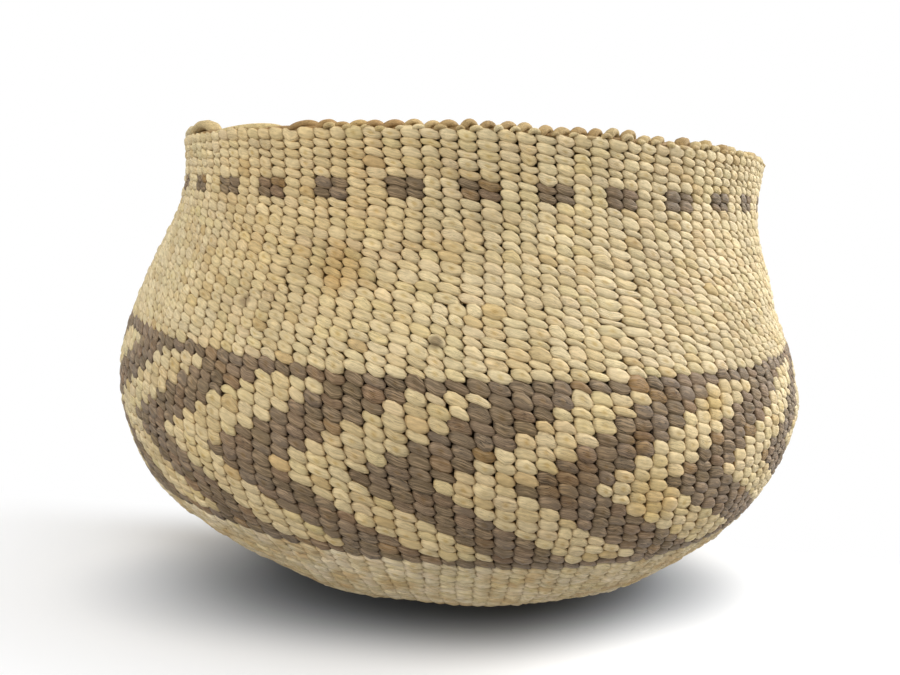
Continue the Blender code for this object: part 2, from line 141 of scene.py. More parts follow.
# %% [markdown]
# ## No handmade wall is even
#
# A weaver pulls some courses tighter than others, so courses wander up and down, columns drift
# sideways and the wall swells and dips by a fraction of a millimetre. A few long sine waves with
# fixed random phases do this smoothly, and the same waves move every piece, so that nothing
# parts company. They fade out on the foot, and at the edge under a third of them is left.


# %% Slow waves over the wall
def waves(seed, count, turns, rows):
    """A smooth field on the wall, mostly between -1 and 1.

    It is the sum of sine waves. Each has a whole number of turns round the bowl, so that it
    closes on itself, and some number of turns up the wall, both drawn from a seeded table.
    """
    draw = np.random.default_rng(seed)
    around = draw.integers(1, turns, count) * draw.choice([-1, 1], count)
    up = draw.uniform(0.3, rows, count)
    phase = draw.uniform(0.0, math.tau, count)

    def field(azimuth, arc):
        turn = np.radians(azimuth)[..., None] * around
        climb = math.tau * (arc / ARC[-1])[..., None] * up
        return np.sin(turn + climb + phase).sum(-1) / math.sqrt(count)

    return field


course_wander = waves(seed=8267, count=9, turns=12, rows=3.0)
column_wander = waves(seed=12, count=9, turns=26, rows=7.0)
wall_swell = waves(seed=13, count=9, turns=16, rows=6.0)
COURSE_WANDER = 0.28 * MM
COLUMN_WANDER = 0.30
WALL_SWELL = 0.14 * MM

STILL_FOOT = 0.6
STILL_FROM = 3 * MM
STILL_OVER = 12 * MM
STILL_EDGE = 0.3


def liveliness(arc):
    """How strongly the waves act: a straight climb off the foot, and a straight fall at the edge.

    They start at 0.6 of the foot's radius and are full at 1.6 of it. From 9 mm below the edge
    they fall to 0.3 of their strength.
    """
    off_foot = np.clip(arc / FOOT[0] - STILL_FOOT, 0.0, 1.0)
    below_edge = np.clip((NECK_HIGH + STILL_FROM - arc) / STILL_OVER, STILL_EDGE, 1.0)
    return off_foot * below_edge


print("strength of the waves at the belly and the edge:", liveliness(DESIGN_MIDDLE), liveliness(NECK_HIGH))

# %% [markdown]
# Chance alone would not give this bowl's outline. So a few bumps and hollows are listed one by one
# where its wall swells or sinks, the courses sit a third of a millimetre lower than an even
# spacing gives, and on the right the top courses sink towards a dip in the edge. The whole neck
# also leans: it rises a little towards the right.

# %% Bumps, dip and tilt
COURSE_SAG = 0.36 * MM
BUMP_WIDTH = 18.0
DIP_AT = -12.0
DIP_WIDTH = 40.0
DIP = 1.3 * MM
# Each bump has an azimuth, then in millimetres an arc, a reach up the wall and a rise.
BUMPS = (
    (-159.5, 125.0, 9.0, 1.0),
    (-141.0, 76.0, 8.0, 1.0),
    (-22.0, 116.0, 6.0, -1.1),
    (-26.5, 98.5, 5.0, 0.9),
    (-36.0, 81.0, 5.0, -0.35),
    (-63.0, 62.0, 9.0, 0.8),
    (-106.0, 60.0, 9.0, 0.7),
)


def turned(azimuth, start):
    """The turn from one azimuth to another by the short way, from -180 to 180 degrees."""
    return np.mod(azimuth - start + 180.0, 360.0) - 180.0


def bumps(azimuth, arc):
    """How far the listed bumps push the wall out: each bump is its rise times exp(-(a^2 + b^2))."""
    pushed = np.zeros(np.shape(arc))
    for bump_at, bump_arc, reach, rise in BUMPS:
        a = turned(azimuth, bump_at) / BUMP_WIDTH
        b = (arc - bump_arc * MM) / (reach * MM)
        pushed = pushed + rise * MM * np.exp(-(a**2) - b**2)
    return pushed


def edge_dip(azimuth, arc):
    """How far the top courses sink on the right: nothing at the squares, and most at the edge."""
    a = turned(azimuth, DIP_AT) / DIP_WIDTH
    climb = np.clip((arc - SQUARES_HIGH) / (NECK_HIGH - SQUARES_HIGH), 0.0, 1.0)
    return DIP * np.exp(-(a**2)) * climb


def neck_tilt(arc):
    """Rise per metre towards +X: a quarter sine from nothing at the lower border to the neck."""
    climb = np.clip((arc - lower_border) / (SQUARES_LOW - lower_border), 0.0, 1.0)
    return NECK_TILT * np.sin(math.pi / 2 * climb)


rim_rise = 2 * NECK_TILT * RIM[0]
print("bumps:", len(BUMPS), "and the rim's right side is higher by, mm:", round(rim_rise / MM, 1))

# %% A place on the wall becomes a point
WORN_FLAT = 0.02 * MM


def on_wall(azimuth, arc, depth):
    """Points of the wall from arrays of azimuth in degrees, arc length and depth.

    The point is the outline's point at that arc, moved inwards by the depth along the outline's
    normal (dz, -dr), then turned about Z by the azimuth, after the slow waves and the bumps have
    been added. Nothing goes below the table: the foot is worn flat where it stands.
    """
    azimuth, arc, depth = np.broadcast_arrays(azimuth, arc, depth)
    live = liveliness(arc)
    flow = arc + live * (COURSE_WANDER * course_wander(azimuth, arc) - COURSE_SAG) - edge_dip(azimuth, arc)
    turn = np.radians(azimuth + COLUMN_WANDER * live * column_wander(azimuth, arc))
    inward = depth - WALL_SWELL * live * wall_swell(azimuth, arc) - bumps(azimuth, arc)
    radius = np.interp(flow, ARC, RADIUS) - inward * np.interp(flow, ARC, OUT_Z)
    height = np.interp(flow, ARC, HEIGHT) + inward * np.interp(flow, ARC, OUT_R)
    x = radius * np.cos(turn)
    height = np.maximum(height + neck_tilt(arc) * x, WORN_FLAT)
    return np.stack([x, radius * np.sin(turn), height], -1)


border = on_wall(np.linspace(0.0, 360.0, 720), BAND_HIGH, 0.0)[:, 2] / MM
print("upper border wanders between heights, mm:", round(border.min(), 2), round(border.max(), 2))

# %% [markdown]
# ## Which warps each course meets
#
# The foot starts with few warps, and more are slipped in as the circle grows. In the shoulder
# some are cut away again, because the neck is narrower: where that happens, one wide stitch
# covers two columns of the course below. Each warp gets the arc where it comes in and the arc
# where it goes out. A golden-ratio sequence spreads those places so that no seam shows.

# %% Where each warp starts and ends
GOLDEN = 0.6180339887
CUT_FROM = 1.4
CUT_OVER = 13.0
# Warps that join in one zone: every so many, from which one, and the zone's two ends in mm.
JOIN_ZONES = ((8, 4, 6.0, 10.0), (4, 2, 15.0, 23.0), (2, 1, 33.0, 47.0))

warp = np.arange(WARPS)
scatter = (warp * GOLDEN) % 1.0
warp_start = np.zeros(WARPS)
for stride, offset, first, last in JOIN_ZONES:
    joins = warp % stride == offset
    warp_start[joins] = (first + (last - first) * scatter[joins]) * MM

neck_column = warp * NECK_WARPS // WARPS
cut = (warp > 0) & (neck_column == np.roll(neck_column, 1))
order = np.random.default_rng(5).permutation(int(cut.sum()))
warp_end = np.full(WARPS, ARC[-1])
warp_end[cut] = BAND_HIGH + SHOULDER_PITCH * (CUT_FROM + CUT_OVER * order / len(order))
print("warps cut in the shoulder:", int(cut.sum()), "of", WARPS)


# %% The columns that a course meets
def warp_azimuth(arc):
    """Azimuth of every warp at an arc: even at the belly, and drawn over to an even neck.

    In the shoulder it eases from the one to the other along 3t^2 - 2t^3, and a warp that is to
    be cut stays midway between its neighbours. The first square of the neck covers the columns 1
    and 2, so its middle is at 1.5.
    """
    belly = CHEVRON_TIP + (warp + 0.5) * 360.0 / WARPS + LEAN_PER_METRE * (arc - DESIGN_MIDDLE)
    neck = SQUARE_MIDDLE + (neck_column - 1.5) * 360.0 / NECK_WARPS + LEAN_PER_METRE * (arc - SQUARES_LOW)
    t = min(max((arc - BAND_HIGH) / (SQUARES_LOW - BAND_HIGH), 0.0), 1.0)
    place = belly + (neck - belly) * t * t * (3.0 - 2.0 * t)
    before, after = np.roll(place, 1), np.roll(place, -1)
    before[0] -= 360.0
    after[-1] += 360.0
    return np.where(cut, (before + after) / 2, place)


def columns(arc):
    """The warps that a course at this arc meets, and the azimuths of the edges between them."""
    met = np.flatnonzero((warp_start <= arc) & (arc < warp_end))
    place = warp_azimuth(arc)[met]
    edges = (place + np.append(place[1:], place[0] + 360.0)) / 2
    return met, np.concatenate([[edges[-1] - 360.0], edges])


print("columns at the start, foot, belly and neck:", [len(columns(a * MM)[0]) for a in (4, 25, 95, 140)])

# %% [markdown]
# ## The courses
#
# A course is one turn of the weft pair. The list runs from the middle of the foot to the rim.
# Each course knows where it lies, how tall it is, and which of its stitches are dark. The
# pattern is a rule, not a picture: in the belly band, each course away from the middle moves
# the chevrons one column to the right, four light and four dark; at the neck, two courses have
# two dark stitches after every two light ones.

# %% List the courses
START_ARC = 1.7 * MM
LOWER_COURSES = round((BAND_LOW - START_ARC) / BELLY_PITCH)
lower_pitch = (BAND_LOW - START_ARC) / LOWER_COURSES
courses = []


def add_courses(zone, low, pitch, count):
    """Adds courses of one zone, one above the other, starting at an arc length."""
    for number in range(count):
        courses.append(dict(zone=zone, number=number, arc=low + pitch * (number + 0.5), pitch=pitch))


add_courses("lower", START_ARC, lower_pitch, LOWER_COURSES)
add_courses("border", BAND_LOW, BELLY_PITCH, 1)
add_courses("design", DESIGN_LOW, BELLY_PITCH, DESIGN_COURSES)
add_courses("border", DESIGN_HIGH, BELLY_PITCH, 1)
add_courses("shoulder", BAND_HIGH, SHOULDER_PITCH, SHOULDER_COURSES)
add_courses("squares", SQUARES_LOW, NECK_PITCH, SQUARE_COURSES)
add_courses("neck", SQUARES_HIGH, NECK_PITCH, NECK_COURSES)
TOP_COURSE = len(courses) - 1
print("courses:", len(courses), "lower ones:", LOWER_COURSES, "their pitch, mm:", round(lower_pitch / MM, 3))


# %% The pattern
def dark_stitches(course, met):
    """True for each stitch that the course makes in the dark weft."""
    if course["zone"] == "border":
        return np.ones(len(met), bool)
    if course["zone"] == "design":
        from_tip = abs(course["number"] - DESIGN_COURSES // 2)
        return (met - from_tip) % CHEVRON_REPEAT >= CHEVRON_REPEAT // 2
    if course["zone"] == "squares":
        return (neck_column[met] - 1) % SQUARE_REPEAT < SQUARE_REPEAT // 2
    return np.zeros(len(met), bool)


for course in reversed(courses[LOWER_COURSES:LOWER_COURSES + DESIGN_COURSES + 2]):
    print("".join("#" if dark else "." for dark in dark_stitches(course, warp[:3 * CHEVRON_REPEAT])))

# %% [markdown]
# ## One course of twining
#
# Two strands turn about each other like the strands of a rope, half a turn for each warp. In
# front of a warp the strand slants down to the right, which is the slant of these stitches, and
# behind it, seen from inside the bowl, it slants the same way.
#
# A real strand is soft. It swells where it crosses the warp and narrows to a point where it
# dives between two warps, so a stitch looks like a short leaf. Its left end is blunt, because it
# comes up from under its neighbour, and its right end is pointed. Both ends run a little past
# the line between the columns. So the ends of two columns lie between each other like teeth, and
# the line that the eye follows up the wall is a zigzag and not a straight groove. The stitches of
# the shoulder slant most, and those of the wall and the belly band are the bluntest, so these
# numbers change from band to band. On the inside the ends reach less far.
#
# The section of a strand turns half round between one stitch and the next, so that its rounder
# side always faces out of the wall and the few points on its other side lie hidden against the
# warp. Low on the wall the outer stitches are worn flat, with shallow grooves between them.

# %% Shape of a stitch
# Places along it, angles round the strand, and how deep in the groove each angle lies.
STATIONS = np.array([-0.5, -0.44, -0.28, 0.0, 0.28, 0.44])
SECTION = np.radians([-100.0, -56.0, -19.0, 19.0, 56.0, 100.0, 180.0])
CREASE = np.array([0.70, 0.12, 0.0, 0.0, 0.12, 0.70, 1.0])
PER_STITCH = len(STATIONS)
AROUND = len(SECTION)
SQUARENESS = 0.72
print("points of a half-strand:", PER_STITCH * AROUND)

# %% How a strand swells and dives
REACH = 1.68 * MM
FLATNESS = 0.30
HALF_DEPTH = 0.52 * MM
PINCHED_DEPTH = 1.60 * MM
WORN_PINCHED_DEPTH = 1.75 * MM
DEPTH_POWER = 0.3
GROOVE_POWER = 0.2
FULL_HEIGHT = 0.60
PINCHED_HEIGHT = 0.20
INNER_OVERREACH = 0.06

# %% Numbers that change from band to band, and the arcs at which they hold
BANDS = (BAND_LOW - 10 * MM, BAND_LOW, BAND_HIGH - 6 * MM, BAND_HIGH + 4 * MM,
         SQUARES_LOW - 8 * MM, SQUARES_LOW, NECK_HIGH)
OVERREACH = (0.14, 0.13, 0.13, 0.14, 0.13, 0.12, 0.11)
SLOPES = (0.25, 0.30, 0.32, 0.39, 0.37, 0.30, 0.26)
BLUNT = (0.9, 0.9, 0.9, 1.2, 1.2, 1.2, 1.1)
POINTED = (1.3, 1.3, 1.3, 1.6, 1.6, 1.5, 1.4)
print("they hold at arcs, mm:", [round(arc / MM, 1) for arc in BANDS])

# %% Where the strands reach out less
# At the start of the foot, in the dark stitches, and where the outer face is worn.
START_ROOM = 0.55
START_OVER = 9 * MM
DARK_INSET = 0.06 * MM
WEAR_OVER = 6 * MM
WORN_INSET = 0.25 * MM
INSET_OVER = 15 * MM

# %% [markdown]
# ## No two stitches are the same
#
# The line between two courses is pushed up or down at each column by a small random amount, one
# part of it its own and one part shared by a few courses of the column. Each stitch fills the
# room between its two lines. So a fat stitch has a thin neighbour, and nothing gaps or
# overlaps. Each stitch also gets its own slant, bulge and tone.

# %% Uneven lines between the courses
EDGE_JITTER = 0.12
EDGE_DRIFT = 0.11
DRIFT_ROWS = 5
TALL_TOP = 0.16
loose = np.random.default_rng(21).normal(size=(2, len(courses) + 1, WARPS))
drift = sum(np.roll(loose[1], row, axis=0) for row in range(DRIFT_ROWS)) / math.sqrt(DRIFT_ROWS)
edge_noise = EDGE_JITTER * loose[0] + EDGE_DRIFT * drift


def edge_shift(boundary, azimuth):
    """How far, in courses, the line between two courses is pushed up at an azimuth.

    The line below the top course is lower all round, because that course was packed less.
    """
    around = np.arange(WARPS) * 360.0 / WARPS
    shift = np.interp(azimuth % 360.0, around, edge_noise[boundary], period=360.0)
    return shift - (TALL_TOP if boundary == TOP_COURSE else 0.0)


print("lines:", len(edge_noise), "and their spread, in courses:", round(edge_noise.std(), 3))

# %% Plan the stitches of one course
COLUMN_JITTER = 0.05
SLANT_SPREAD = 0.28
TOP_UPRIGHT = 0.5
BULGE_SPREAD = 0.10 * MM


def uneven(draw, size):
    """Random numbers round 0 with a spread of 1, none of them further off than 2."""
    return draw.normal(size=size).clip(-2, 2)


def plan(index):
    """What is uneven in one course: the columns' edges, and each stitch's ends, slant and bulge.

    Low and high are the lines that bound a stitch, in courses from the course's own middle. The
    slant is a share of the band's slant, and the bulge is in metres, in front and inside.
    """
    met, edges = columns(courses[index]["arc"])
    count = len(met)
    draw = np.random.default_rng(1000 + index)
    edges[:-1] += COLUMN_JITTER * 360.0 / count * uneven(draw, count)
    edges[-1] = edges[0] + 360.0
    middle = (edges[:-1] + edges[1:]) / 2
    low = -0.5 + edge_shift(index, middle)
    high = 0.5 + edge_shift(index + 1, middle)
    slant = 1.0 + SLANT_SPREAD * uneven(draw, count)
    if index == TOP_COURSE:
        slant -= TOP_UPRIGHT
    bulge = BULGE_SPREAD * uneven(draw, (2, count))
    return met, edges, middle, low, high, slant, bulge


print("slants in the first course, as shares of the band's:", np.round(plan(0)[5], 2))

# %% Make the points of one course
def twine(index):
    """The two strands of one course, as an array (strand, station, around, xyz), and its facts.

    In the stitch's own terms, t runs from -1/2 to 1/2 across the column, and c = |cos(pi t)|.
    The azimuth is that of the column's middle plus its width times t x (1 + 2 x overreach), save
    at the column's edge, where the strand goes through the wall. The strand's centre is at
    out = reach x side x c^flatness and up = -2 x slope x t x side, where side is 1 in front and
    -1 inside. The section is a squarish ellipse of half height
    pinched + (full - pinched) x (1 - |2t|^3)^p, with a small p for a blunt end and a larger one
    for a pointed end. Its half depth falls from the column's edge to the crest along c^0.3. It
    has turned by half a turn for each stitch so far, and by a quarter turn times |2t|^6 within
    the stitch. Deep, 1 - c^0.2, says how far down in a groove a point lies.
    """
    course = courses[index]
    met, edges, middle, low, high, slant, bulge = plan(index)
    count = len(met)
    column = np.repeat(np.arange(count), PER_STITCH)
    t = np.tile(STATIONS, count)
    crest = np.abs(np.cos(math.pi * t))
    blend = crest**2
    half_turns = column + np.arange(2)[:, None] + index
    front = np.where(half_turns % 2 == 0, 1.0, -1.0)
    roll = math.pi * half_turns + math.pi / 2 * np.sign(t) * np.abs(2 * t) ** 6
    overreach, slope, blunt, pointed = (
        np.interp(course["arc"], BANDS, values) for values in (OVERREACH, SLOPES, BLUNT, POINTED))

    overlap = np.where(front > 0, overreach, INNER_OVERREACH)
    at_column_edge = np.abs(t) == 0.5
    aside = np.where(at_column_edge, t, t * (1 + 2 * overlap))
    azimuth = middle[column] + (edges[column + 1] - edges[column]) * aside

    full = (high - low)[column] * FULL_HEIGHT
    taper = (1.0 - np.abs(2 * t) ** 3) ** np.where(t < 0.0, blunt, pointed)
    half_height = (PINCHED_HEIGHT + (full - PINCHED_HEIGHT) * taper) * course["pitch"]
    centre = ((high + low) / 2)[column] * blend
    up = centre - slope * 2 * t * front * (1.0 + (slant[column] - 1.0) * blend)

    dark = dark_stitches(course, met)
    worn = np.clip((BAND_LOW - course["arc"]) / WEAR_OVER, 0.0, 1.0)
    room = np.clip((course["arc"] - START_ARC) / START_OVER, START_ROOM, 1.0)
    own_bulge = np.where(front > 0, bulge[0][column], bulge[1][column]) * blend
    own_bulge = own_bulge - np.where((front > 0) & dark[column], DARK_INSET, 0.0) * blend
    inset = WORN_INSET * min(worn * 3.0, 1.0) * np.clip((course["arc"] - FOOT[0]) / INSET_OVER, 0.0, 1.0)
    out = front * (REACH * crest**FLATNESS + own_bulge) * room - np.where(front > 0, inset, 0.0)
    pinched = PINCHED_DEPTH + (WORN_PINCHED_DEPTH - PINCHED_DEPTH) * worn * (front > 0)
    half_depth = pinched + (HALF_DEPTH - pinched) * crest**DEPTH_POWER

    turn = SECTION - roll[..., None]
    across = np.sign(np.cos(turn)) * np.abs(np.cos(turn)) ** SQUARENESS
    along = np.sign(np.sin(turn)) * np.abs(np.sin(turn)) ** SQUARENESS
    depth = WALL / 2 - out[..., None] - half_depth[..., None] * across
    arc = course["arc"] + up[..., None] * course["pitch"] + half_height[:, None] * along
    points = on_wall(azimuth[..., None], arc, depth)
    deep = np.maximum(1.0 - crest[:, None] ** GROOVE_POWER, CREASE) * np.ones((2, 1, 1))
    return dict(points=points, deep=deep, rise=along / 2, count=count, dark=dark,
                front=front[:, ::PER_STITCH] > 0)


woven = [twine(index) for index in range(len(courses))]
print("stitches on the outer face:", sum(course["count"] for course in woven))

# %% [markdown]
# ## From courses to pieces
#
# The object is taken apart into pieces as the colours and the stages of the work suggest: the
# foot, the wall, the belly band's dark and light stitches, the shoulder, the neck. A piece
# picks half-strands: the stretch of one strand over one column, in front or behind. Where the
# next half-strand belongs to another piece, the open end is capped, so that every piece is a
# set of closed bodies. A band with very many stitches is shared between two or three pieces of a
# few courses each, which keeps every piece light enough to handle.
#
# Each face also knows its place on its strand, for the fibre finish: u is the height within the
# stitch, from -1/2 to 1/2, and v is the place along it. So the fibres run along every stitch,
# however it slants.


# %% The faces of half-strands, and where they end
def half_strand_faces(count, strand, column):
    """Quads between neighbouring stations and section points, and the rings they start from.

    For an odd number of columns the two strands change places after one turn, which the choice
    of the strand after the last station allows for.
    """
    length = count * PER_STITCH
    station = column[:, None] * PER_STITCH + np.arange(PER_STITCH)
    after = station + 1
    wraps = after == length
    after_strand = np.where(wraps & bool(count % 2), 1 - strand[:, None], strand[:, None])
    here = ((strand[:, None] * length + station) * AROUND)[..., None]
    there = ((after_strand * length + np.where(wraps, 0, after)) * AROUND)[..., None]
    corner = np.arange(AROUND)
    following = (corner + 1) % AROUND
    return here, there, np.stack([here + corner, there + corner, there + following, here + following], -1)


def open_ends(mask, strand, column):
    """Which half-strands have no neighbour of the same piece before them, and which none after."""
    count = mask.shape[1]
    swaps = bool(count % 2)
    is_first = column == 0
    is_last = column == count - 1
    before = np.where(is_first, count - 1, column - 1)
    after = np.where(is_last, 0, column + 1)
    before_strand = np.where(is_first & swaps, 1 - strand, strand)
    after_strand = np.where(is_last & swaps, 1 - strand, strand)
    return ~mask[before_strand, before], ~mask[after_strand, after]


# %% Pick half-strands and close them
def gather(wanted):
    """Mesh arrays of all half-strands that wanted(index, facts) marks, with their end caps.

    They are: points, how deep each lies in a groove, quads, three facts and the strand
    coordinates for each quad, end caps, and three facts for each cap. The dye reaches through the
    wall at both ends of a dark stitch.
    """
    parts = []
    base = 0
    ends = np.isin(np.arange(PER_STITCH), (0, PER_STITCH - 1))
    v = np.append(STATIONS, 0.5)
    corner_v = np.stack([v[:-1], v[1:], v[1:], v[:-1]], -1)[:, None, :]
    corner = np.arange(AROUND)
    for index, facts in enumerate(woven):
        mask = wanted(index, facts)
        if not mask.any():
            continue
        strand, column = np.nonzero(mask)
        here, there, faces = half_strand_faces(facts["count"], strand, column)
        tone = np.random.default_rng(5000 + index).random(mask.shape)[strand, column]
        dark = facts["dark"][column]
        outer = facts["front"][strand, column].astype(float)
        dye = dark * outer
        station_dye = np.maximum(dye[:, None], (dark[:, None] & ends).astype(float))
        station_facts = np.stack(np.broadcast_arrays(tone[:, None], station_dye, outer[:, None]), -1)
        uv = np.stack(np.broadcast_arrays(facts["rise"].ravel()[faces], corner_v), -1)

        opens, closes = open_ends(mask, strand, column)
        starts = here[opens, 0, 0][:, None] + corner
        stops = there[closes, -1, 0][:, None] + corner[::-1]
        cap_facts = np.stack([np.concatenate([fact[opens], fact[closes]]) for fact in (tone, dye, outer)], -1)
        parts.append((
            facts["points"].reshape(-1, 3),
            facts["deep"].ravel(),
            base + faces.reshape(-1, 4),
            np.repeat(station_facts.reshape(-1, 3), AROUND, axis=0),
            uv.reshape(-1, 2),
            base + np.concatenate([starts, stops]),
            cap_facts,
        ))
        base += facts["deep"].size
    return [np.concatenate(part) for part in zip(*parts)]


# %% Make a mesh of them
def mesh_piece(name, points, deep, quads, facts, uv, caps, cap_facts):
    """Makes the mesh object: unused points go, quads come first and then the caps.

    Facts are three numbers for each face: its tone, whether it is dyed and whether it is on the
    outer side. Deep says for each point how far down it lies in a groove. The quads are smooth
    and the caps flat.
    """
    used = np.unique(np.concatenate([quads.ravel(), caps.ravel()]))
    remap = np.full(len(points), -1)
    remap[used] = np.arange(len(used))
    loops = np.concatenate([remap[quads].ravel(), remap[caps].ravel()]).astype(np.int32)
    quad_starts = np.arange(len(quads)) * quads.shape[1]
    cap_starts = quads.size + np.arange(len(caps)) * caps.shape[1]
    starts = np.concatenate([quad_starts, cap_starts]).astype(np.int32)
    mesh = bpy.data.meshes.new(name)
    mesh.vertices.add(len(used))
    mesh.vertices.foreach_set("co", points[used].astype(np.float32).ravel())
    mesh.loops.add(len(loops))
    mesh.loops.foreach_set("vertex_index", loops)
    mesh.polygons.add(len(starts))
    mesh.polygons.foreach_set("loop_start", starts)
    mesh.polygons.foreach_set("use_smooth", np.arange(len(starts)) < len(quads))

    every = np.concatenate([facts, cap_facts])
    for place, fact in enumerate(("tone", "dye", "outer")):
        layer = mesh.attributes.new(fact, "FLOAT", "FACE")
        layer.data.foreach_set("value", every[:, place].astype(np.float32))
    layer = mesh.attributes.new("deep", "FLOAT", "POINT")
    layer.data.foreach_set("value", deep[used].astype(np.float32))
    strand_uv = np.zeros((len(loops), 2), np.float32)
    strand_uv[:len(uv)] = uv
    mesh.uv_layers.new(name="strand").data.foreach_set("uv", strand_uv.ravel())
    mesh.update(calc_edges=True)
    mesh.validate()
    piece = bpy.data.objects.new(name, mesh)
    bpy.context.scene.collection.objects.link(piece)
    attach(piece, "root")
    print(f"{name}: {2 * len(quads) + (caps.shape[1] - 2) * len(caps)} triangles")
    return piece


# %% [markdown]
# ## Weave the pieces
#
# Each row below names one piece, the half-strands in it, its material slot and the plain solids
# that it stands for. Those solids stay in the physics model, out of sight.


# %% Choose half-strands
def in_courses(first, last, dark=None, front=None):
    """A choice of half-strands: those of the courses from first up to last, by colour and side."""
    def wanted(index, facts):
        mask = np.full((2, facts["count"]), first <= index < last)
        if dark is not None:
            mask &= (facts["dark"] & facts["front"]) == dark
        if front is not None:
            mask &= facts["front"] == front
        return mask
    return wanted


# %% The weft pieces
# The courses at which one piece ends and the next begins.
foot_end, lower_a_end, lower_b_end = 20, 28, 35
band = LOWER_COURSES
inner_a_end = band + 9
shoulder = band + DESIGN_COURSES + 2
shoulder_a_end, shoulder_b_end = shoulder + 6, shoulder + 12
squares = shoulder + SHOULDER_COURSES
top = len(courses)
foot_solids = ["start_outer_courses", "base_outer_courses", "base_inner_courses"]
chevrons = [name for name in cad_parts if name.startswith("light_chevron")]
inner_solids = ["upper_inner_courses"]
shoulder_solids = ["shoulder_outer_courses"]
neck_solids = ["neck_light_courses", "neck_outer_courses"]
weft_pieces = (
    ("foot_wefts", in_courses(0, foot_end), "light_weft", foot_solids),
    ("lower_wefts_a", in_courses(foot_end, lower_a_end), "light_weft", ["lower_outer_courses"]),
    ("lower_wefts_b", in_courses(lower_a_end, lower_b_end), "light_weft", ["lower_inner_courses"]),
    ("lower_wefts_c", in_courses(lower_b_end, band), "light_weft", []),
    ("design_dark_wefts", in_courses(band, shoulder, dark=True), "dark_weft", ["dark_design_courses"]),
    ("design_light_wefts", in_courses(band, shoulder, dark=False, front=True), "light_weft", chevrons),
    ("design_inner_wefts_a", in_courses(band, inner_a_end, front=False), "light_weft", inner_solids),
    ("design_inner_wefts_b", in_courses(inner_a_end, shoulder, front=False), "light_weft", []),
    ("shoulder_wefts_a", in_courses(shoulder, shoulder_a_end), "light_weft", shoulder_solids),
    ("shoulder_wefts_b", in_courses(shoulder_a_end, shoulder_b_end), "light_weft", []),
    ("shoulder_wefts_c", in_courses(shoulder_b_end, squares), "light_weft", []),
    ("neck_dark_wefts", in_courses(squares, top, dark=True), "dark_weft", ["neck_dark_squares"]),
    ("neck_light_wefts", in_courses(squares, top, dark=False), "light_weft", neck_solids),
)
pieces = {}
for name, wanted, slot, solids in weft_pieces:
    pieces[name] = mesh_piece(name, *gather(wanted))
    if solids:
        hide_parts(*solids)

# %% [markdown]
# ## The warps
#
# The warps are cords hidden between the two faces. They show only through a small hole or a
# slack place, but the bowl is built round them, so they are here: a round cord up each warp's
# own azimuth, all of them worked out as one array.

# %% Tubes along lines
STREAK_SHIFT = 7.3


def unit(vectors):
    """Each vector divided by its own length."""
    return vectors / np.linalg.norm(vectors, axis=-1, keepdims=True)


def tubes(centres, across, outward, radius_across, radius_out, sides):
    """Tubes along several lines at once: (tube, station, side, xyz).

    Each section is centre + across x a x cos(angle) + outward x b x sin(angle).
    """
    angle = math.tau * np.arange(sides) / sides
    ring_a = np.cos(angle)[:, None] * across[..., None, :] * radius_across[..., None, None]
    ring_b = np.sin(angle)[:, None] * outward[..., None, :] * radius_out[..., None, None]
    return centres[..., None, :] + ring_a + ring_b


def tube_mesh(name, rings, tone, closed=False):
    """A closed mesh from an array of tubes, capped at both ends or each joined to itself.

    If the sum of a . (b x c) over its quads is negative, it is inside out, and is turned.
    """
    count, stations, sides = rings.shape[:3]
    corner = np.arange(sides)
    following = (corner + 1) % sides
    spans = stations if closed else stations - 1
    first = np.arange(count)[:, None, None] * stations * sides
    here = first + np.arange(spans)[:, None] * sides
    there = first + (np.arange(1, spans + 1)[:, None] % stations) * sides
    quads = np.stack([here + corner, there + corner, there + following, here + following], -1).reshape(-1, 4)
    last = first + (stations - 1) * sides
    caps = np.concatenate([first[:, 0] + corner, last[:, 0] + corner[::-1]])
    caps = caps[:0] if closed else caps
    facts = np.repeat(tone, spans * sides)[:, None] * (1.0, 0.0, 0.0)
    cap_facts = np.tile(tone, 2)[:len(caps), None] * (1.0, 0.0, 0.0)
    u = np.sin(math.tau / sides * np.stack([corner, corner, corner + 1, corner + 1], -1)) / 2
    v = np.arange(spans)[:, None, None] + np.array([0.0, 1.0, 1.0, 0.0])
    v = v[None] + STREAK_SHIFT * np.arange(count)[:, None, None, None]
    uv = np.stack(np.broadcast_arrays(u[None, None], v), -1)
    points = rings.reshape(-1, 3)
    a, b, c = (points[quads[:, place]] for place in range(3))
    if np.einsum("ij,ij->i", a, np.cross(b, c)).sum() < 0:
        quads, caps, uv = quads[:, ::-1], caps[:, ::-1], uv[..., ::-1, :]
    return mesh_piece(name, points, np.zeros(len(points)), quads, facts, uv.reshape(-1, 2), caps, cap_facts)


# %% Cords up the wall
WARP_SHARE = 0.485
WARP_HALF_WIDTH = 1.5 * MM
WARP_HALF_DEPTH = 0.62 * MM
WARP_STATIONS = 40
WARP_SIDES = 6
STEP = 0.1 * MM

lowest = np.maximum(warp_start - 1 * MM, 0.05 * MM)
highest = np.where(cut, warp_end, NECK_HIGH - 0.3 * MM)
cord_arc = lowest[:, None] + (highest - lowest)[:, None] * np.linspace(0.0, 1.0, WARP_STATIONS)
table_arc = np.linspace(0.0, ARC[-1], 200)
table = np.array([warp_azimuth(arc) for arc in table_arc])
cord_azimuth = np.array([np.interp(cord_arc[w], table_arc, table[:, w]) for w in warp])
cord_line = on_wall(cord_azimuth, cord_arc, WALL / 2)
cord_across = unit(on_wall(cord_azimuth + 0.1, cord_arc, WALL / 2) - cord_line)
cord_outward = unit(cord_line - on_wall(cord_azimuth, cord_arc, WALL / 2 + STEP))

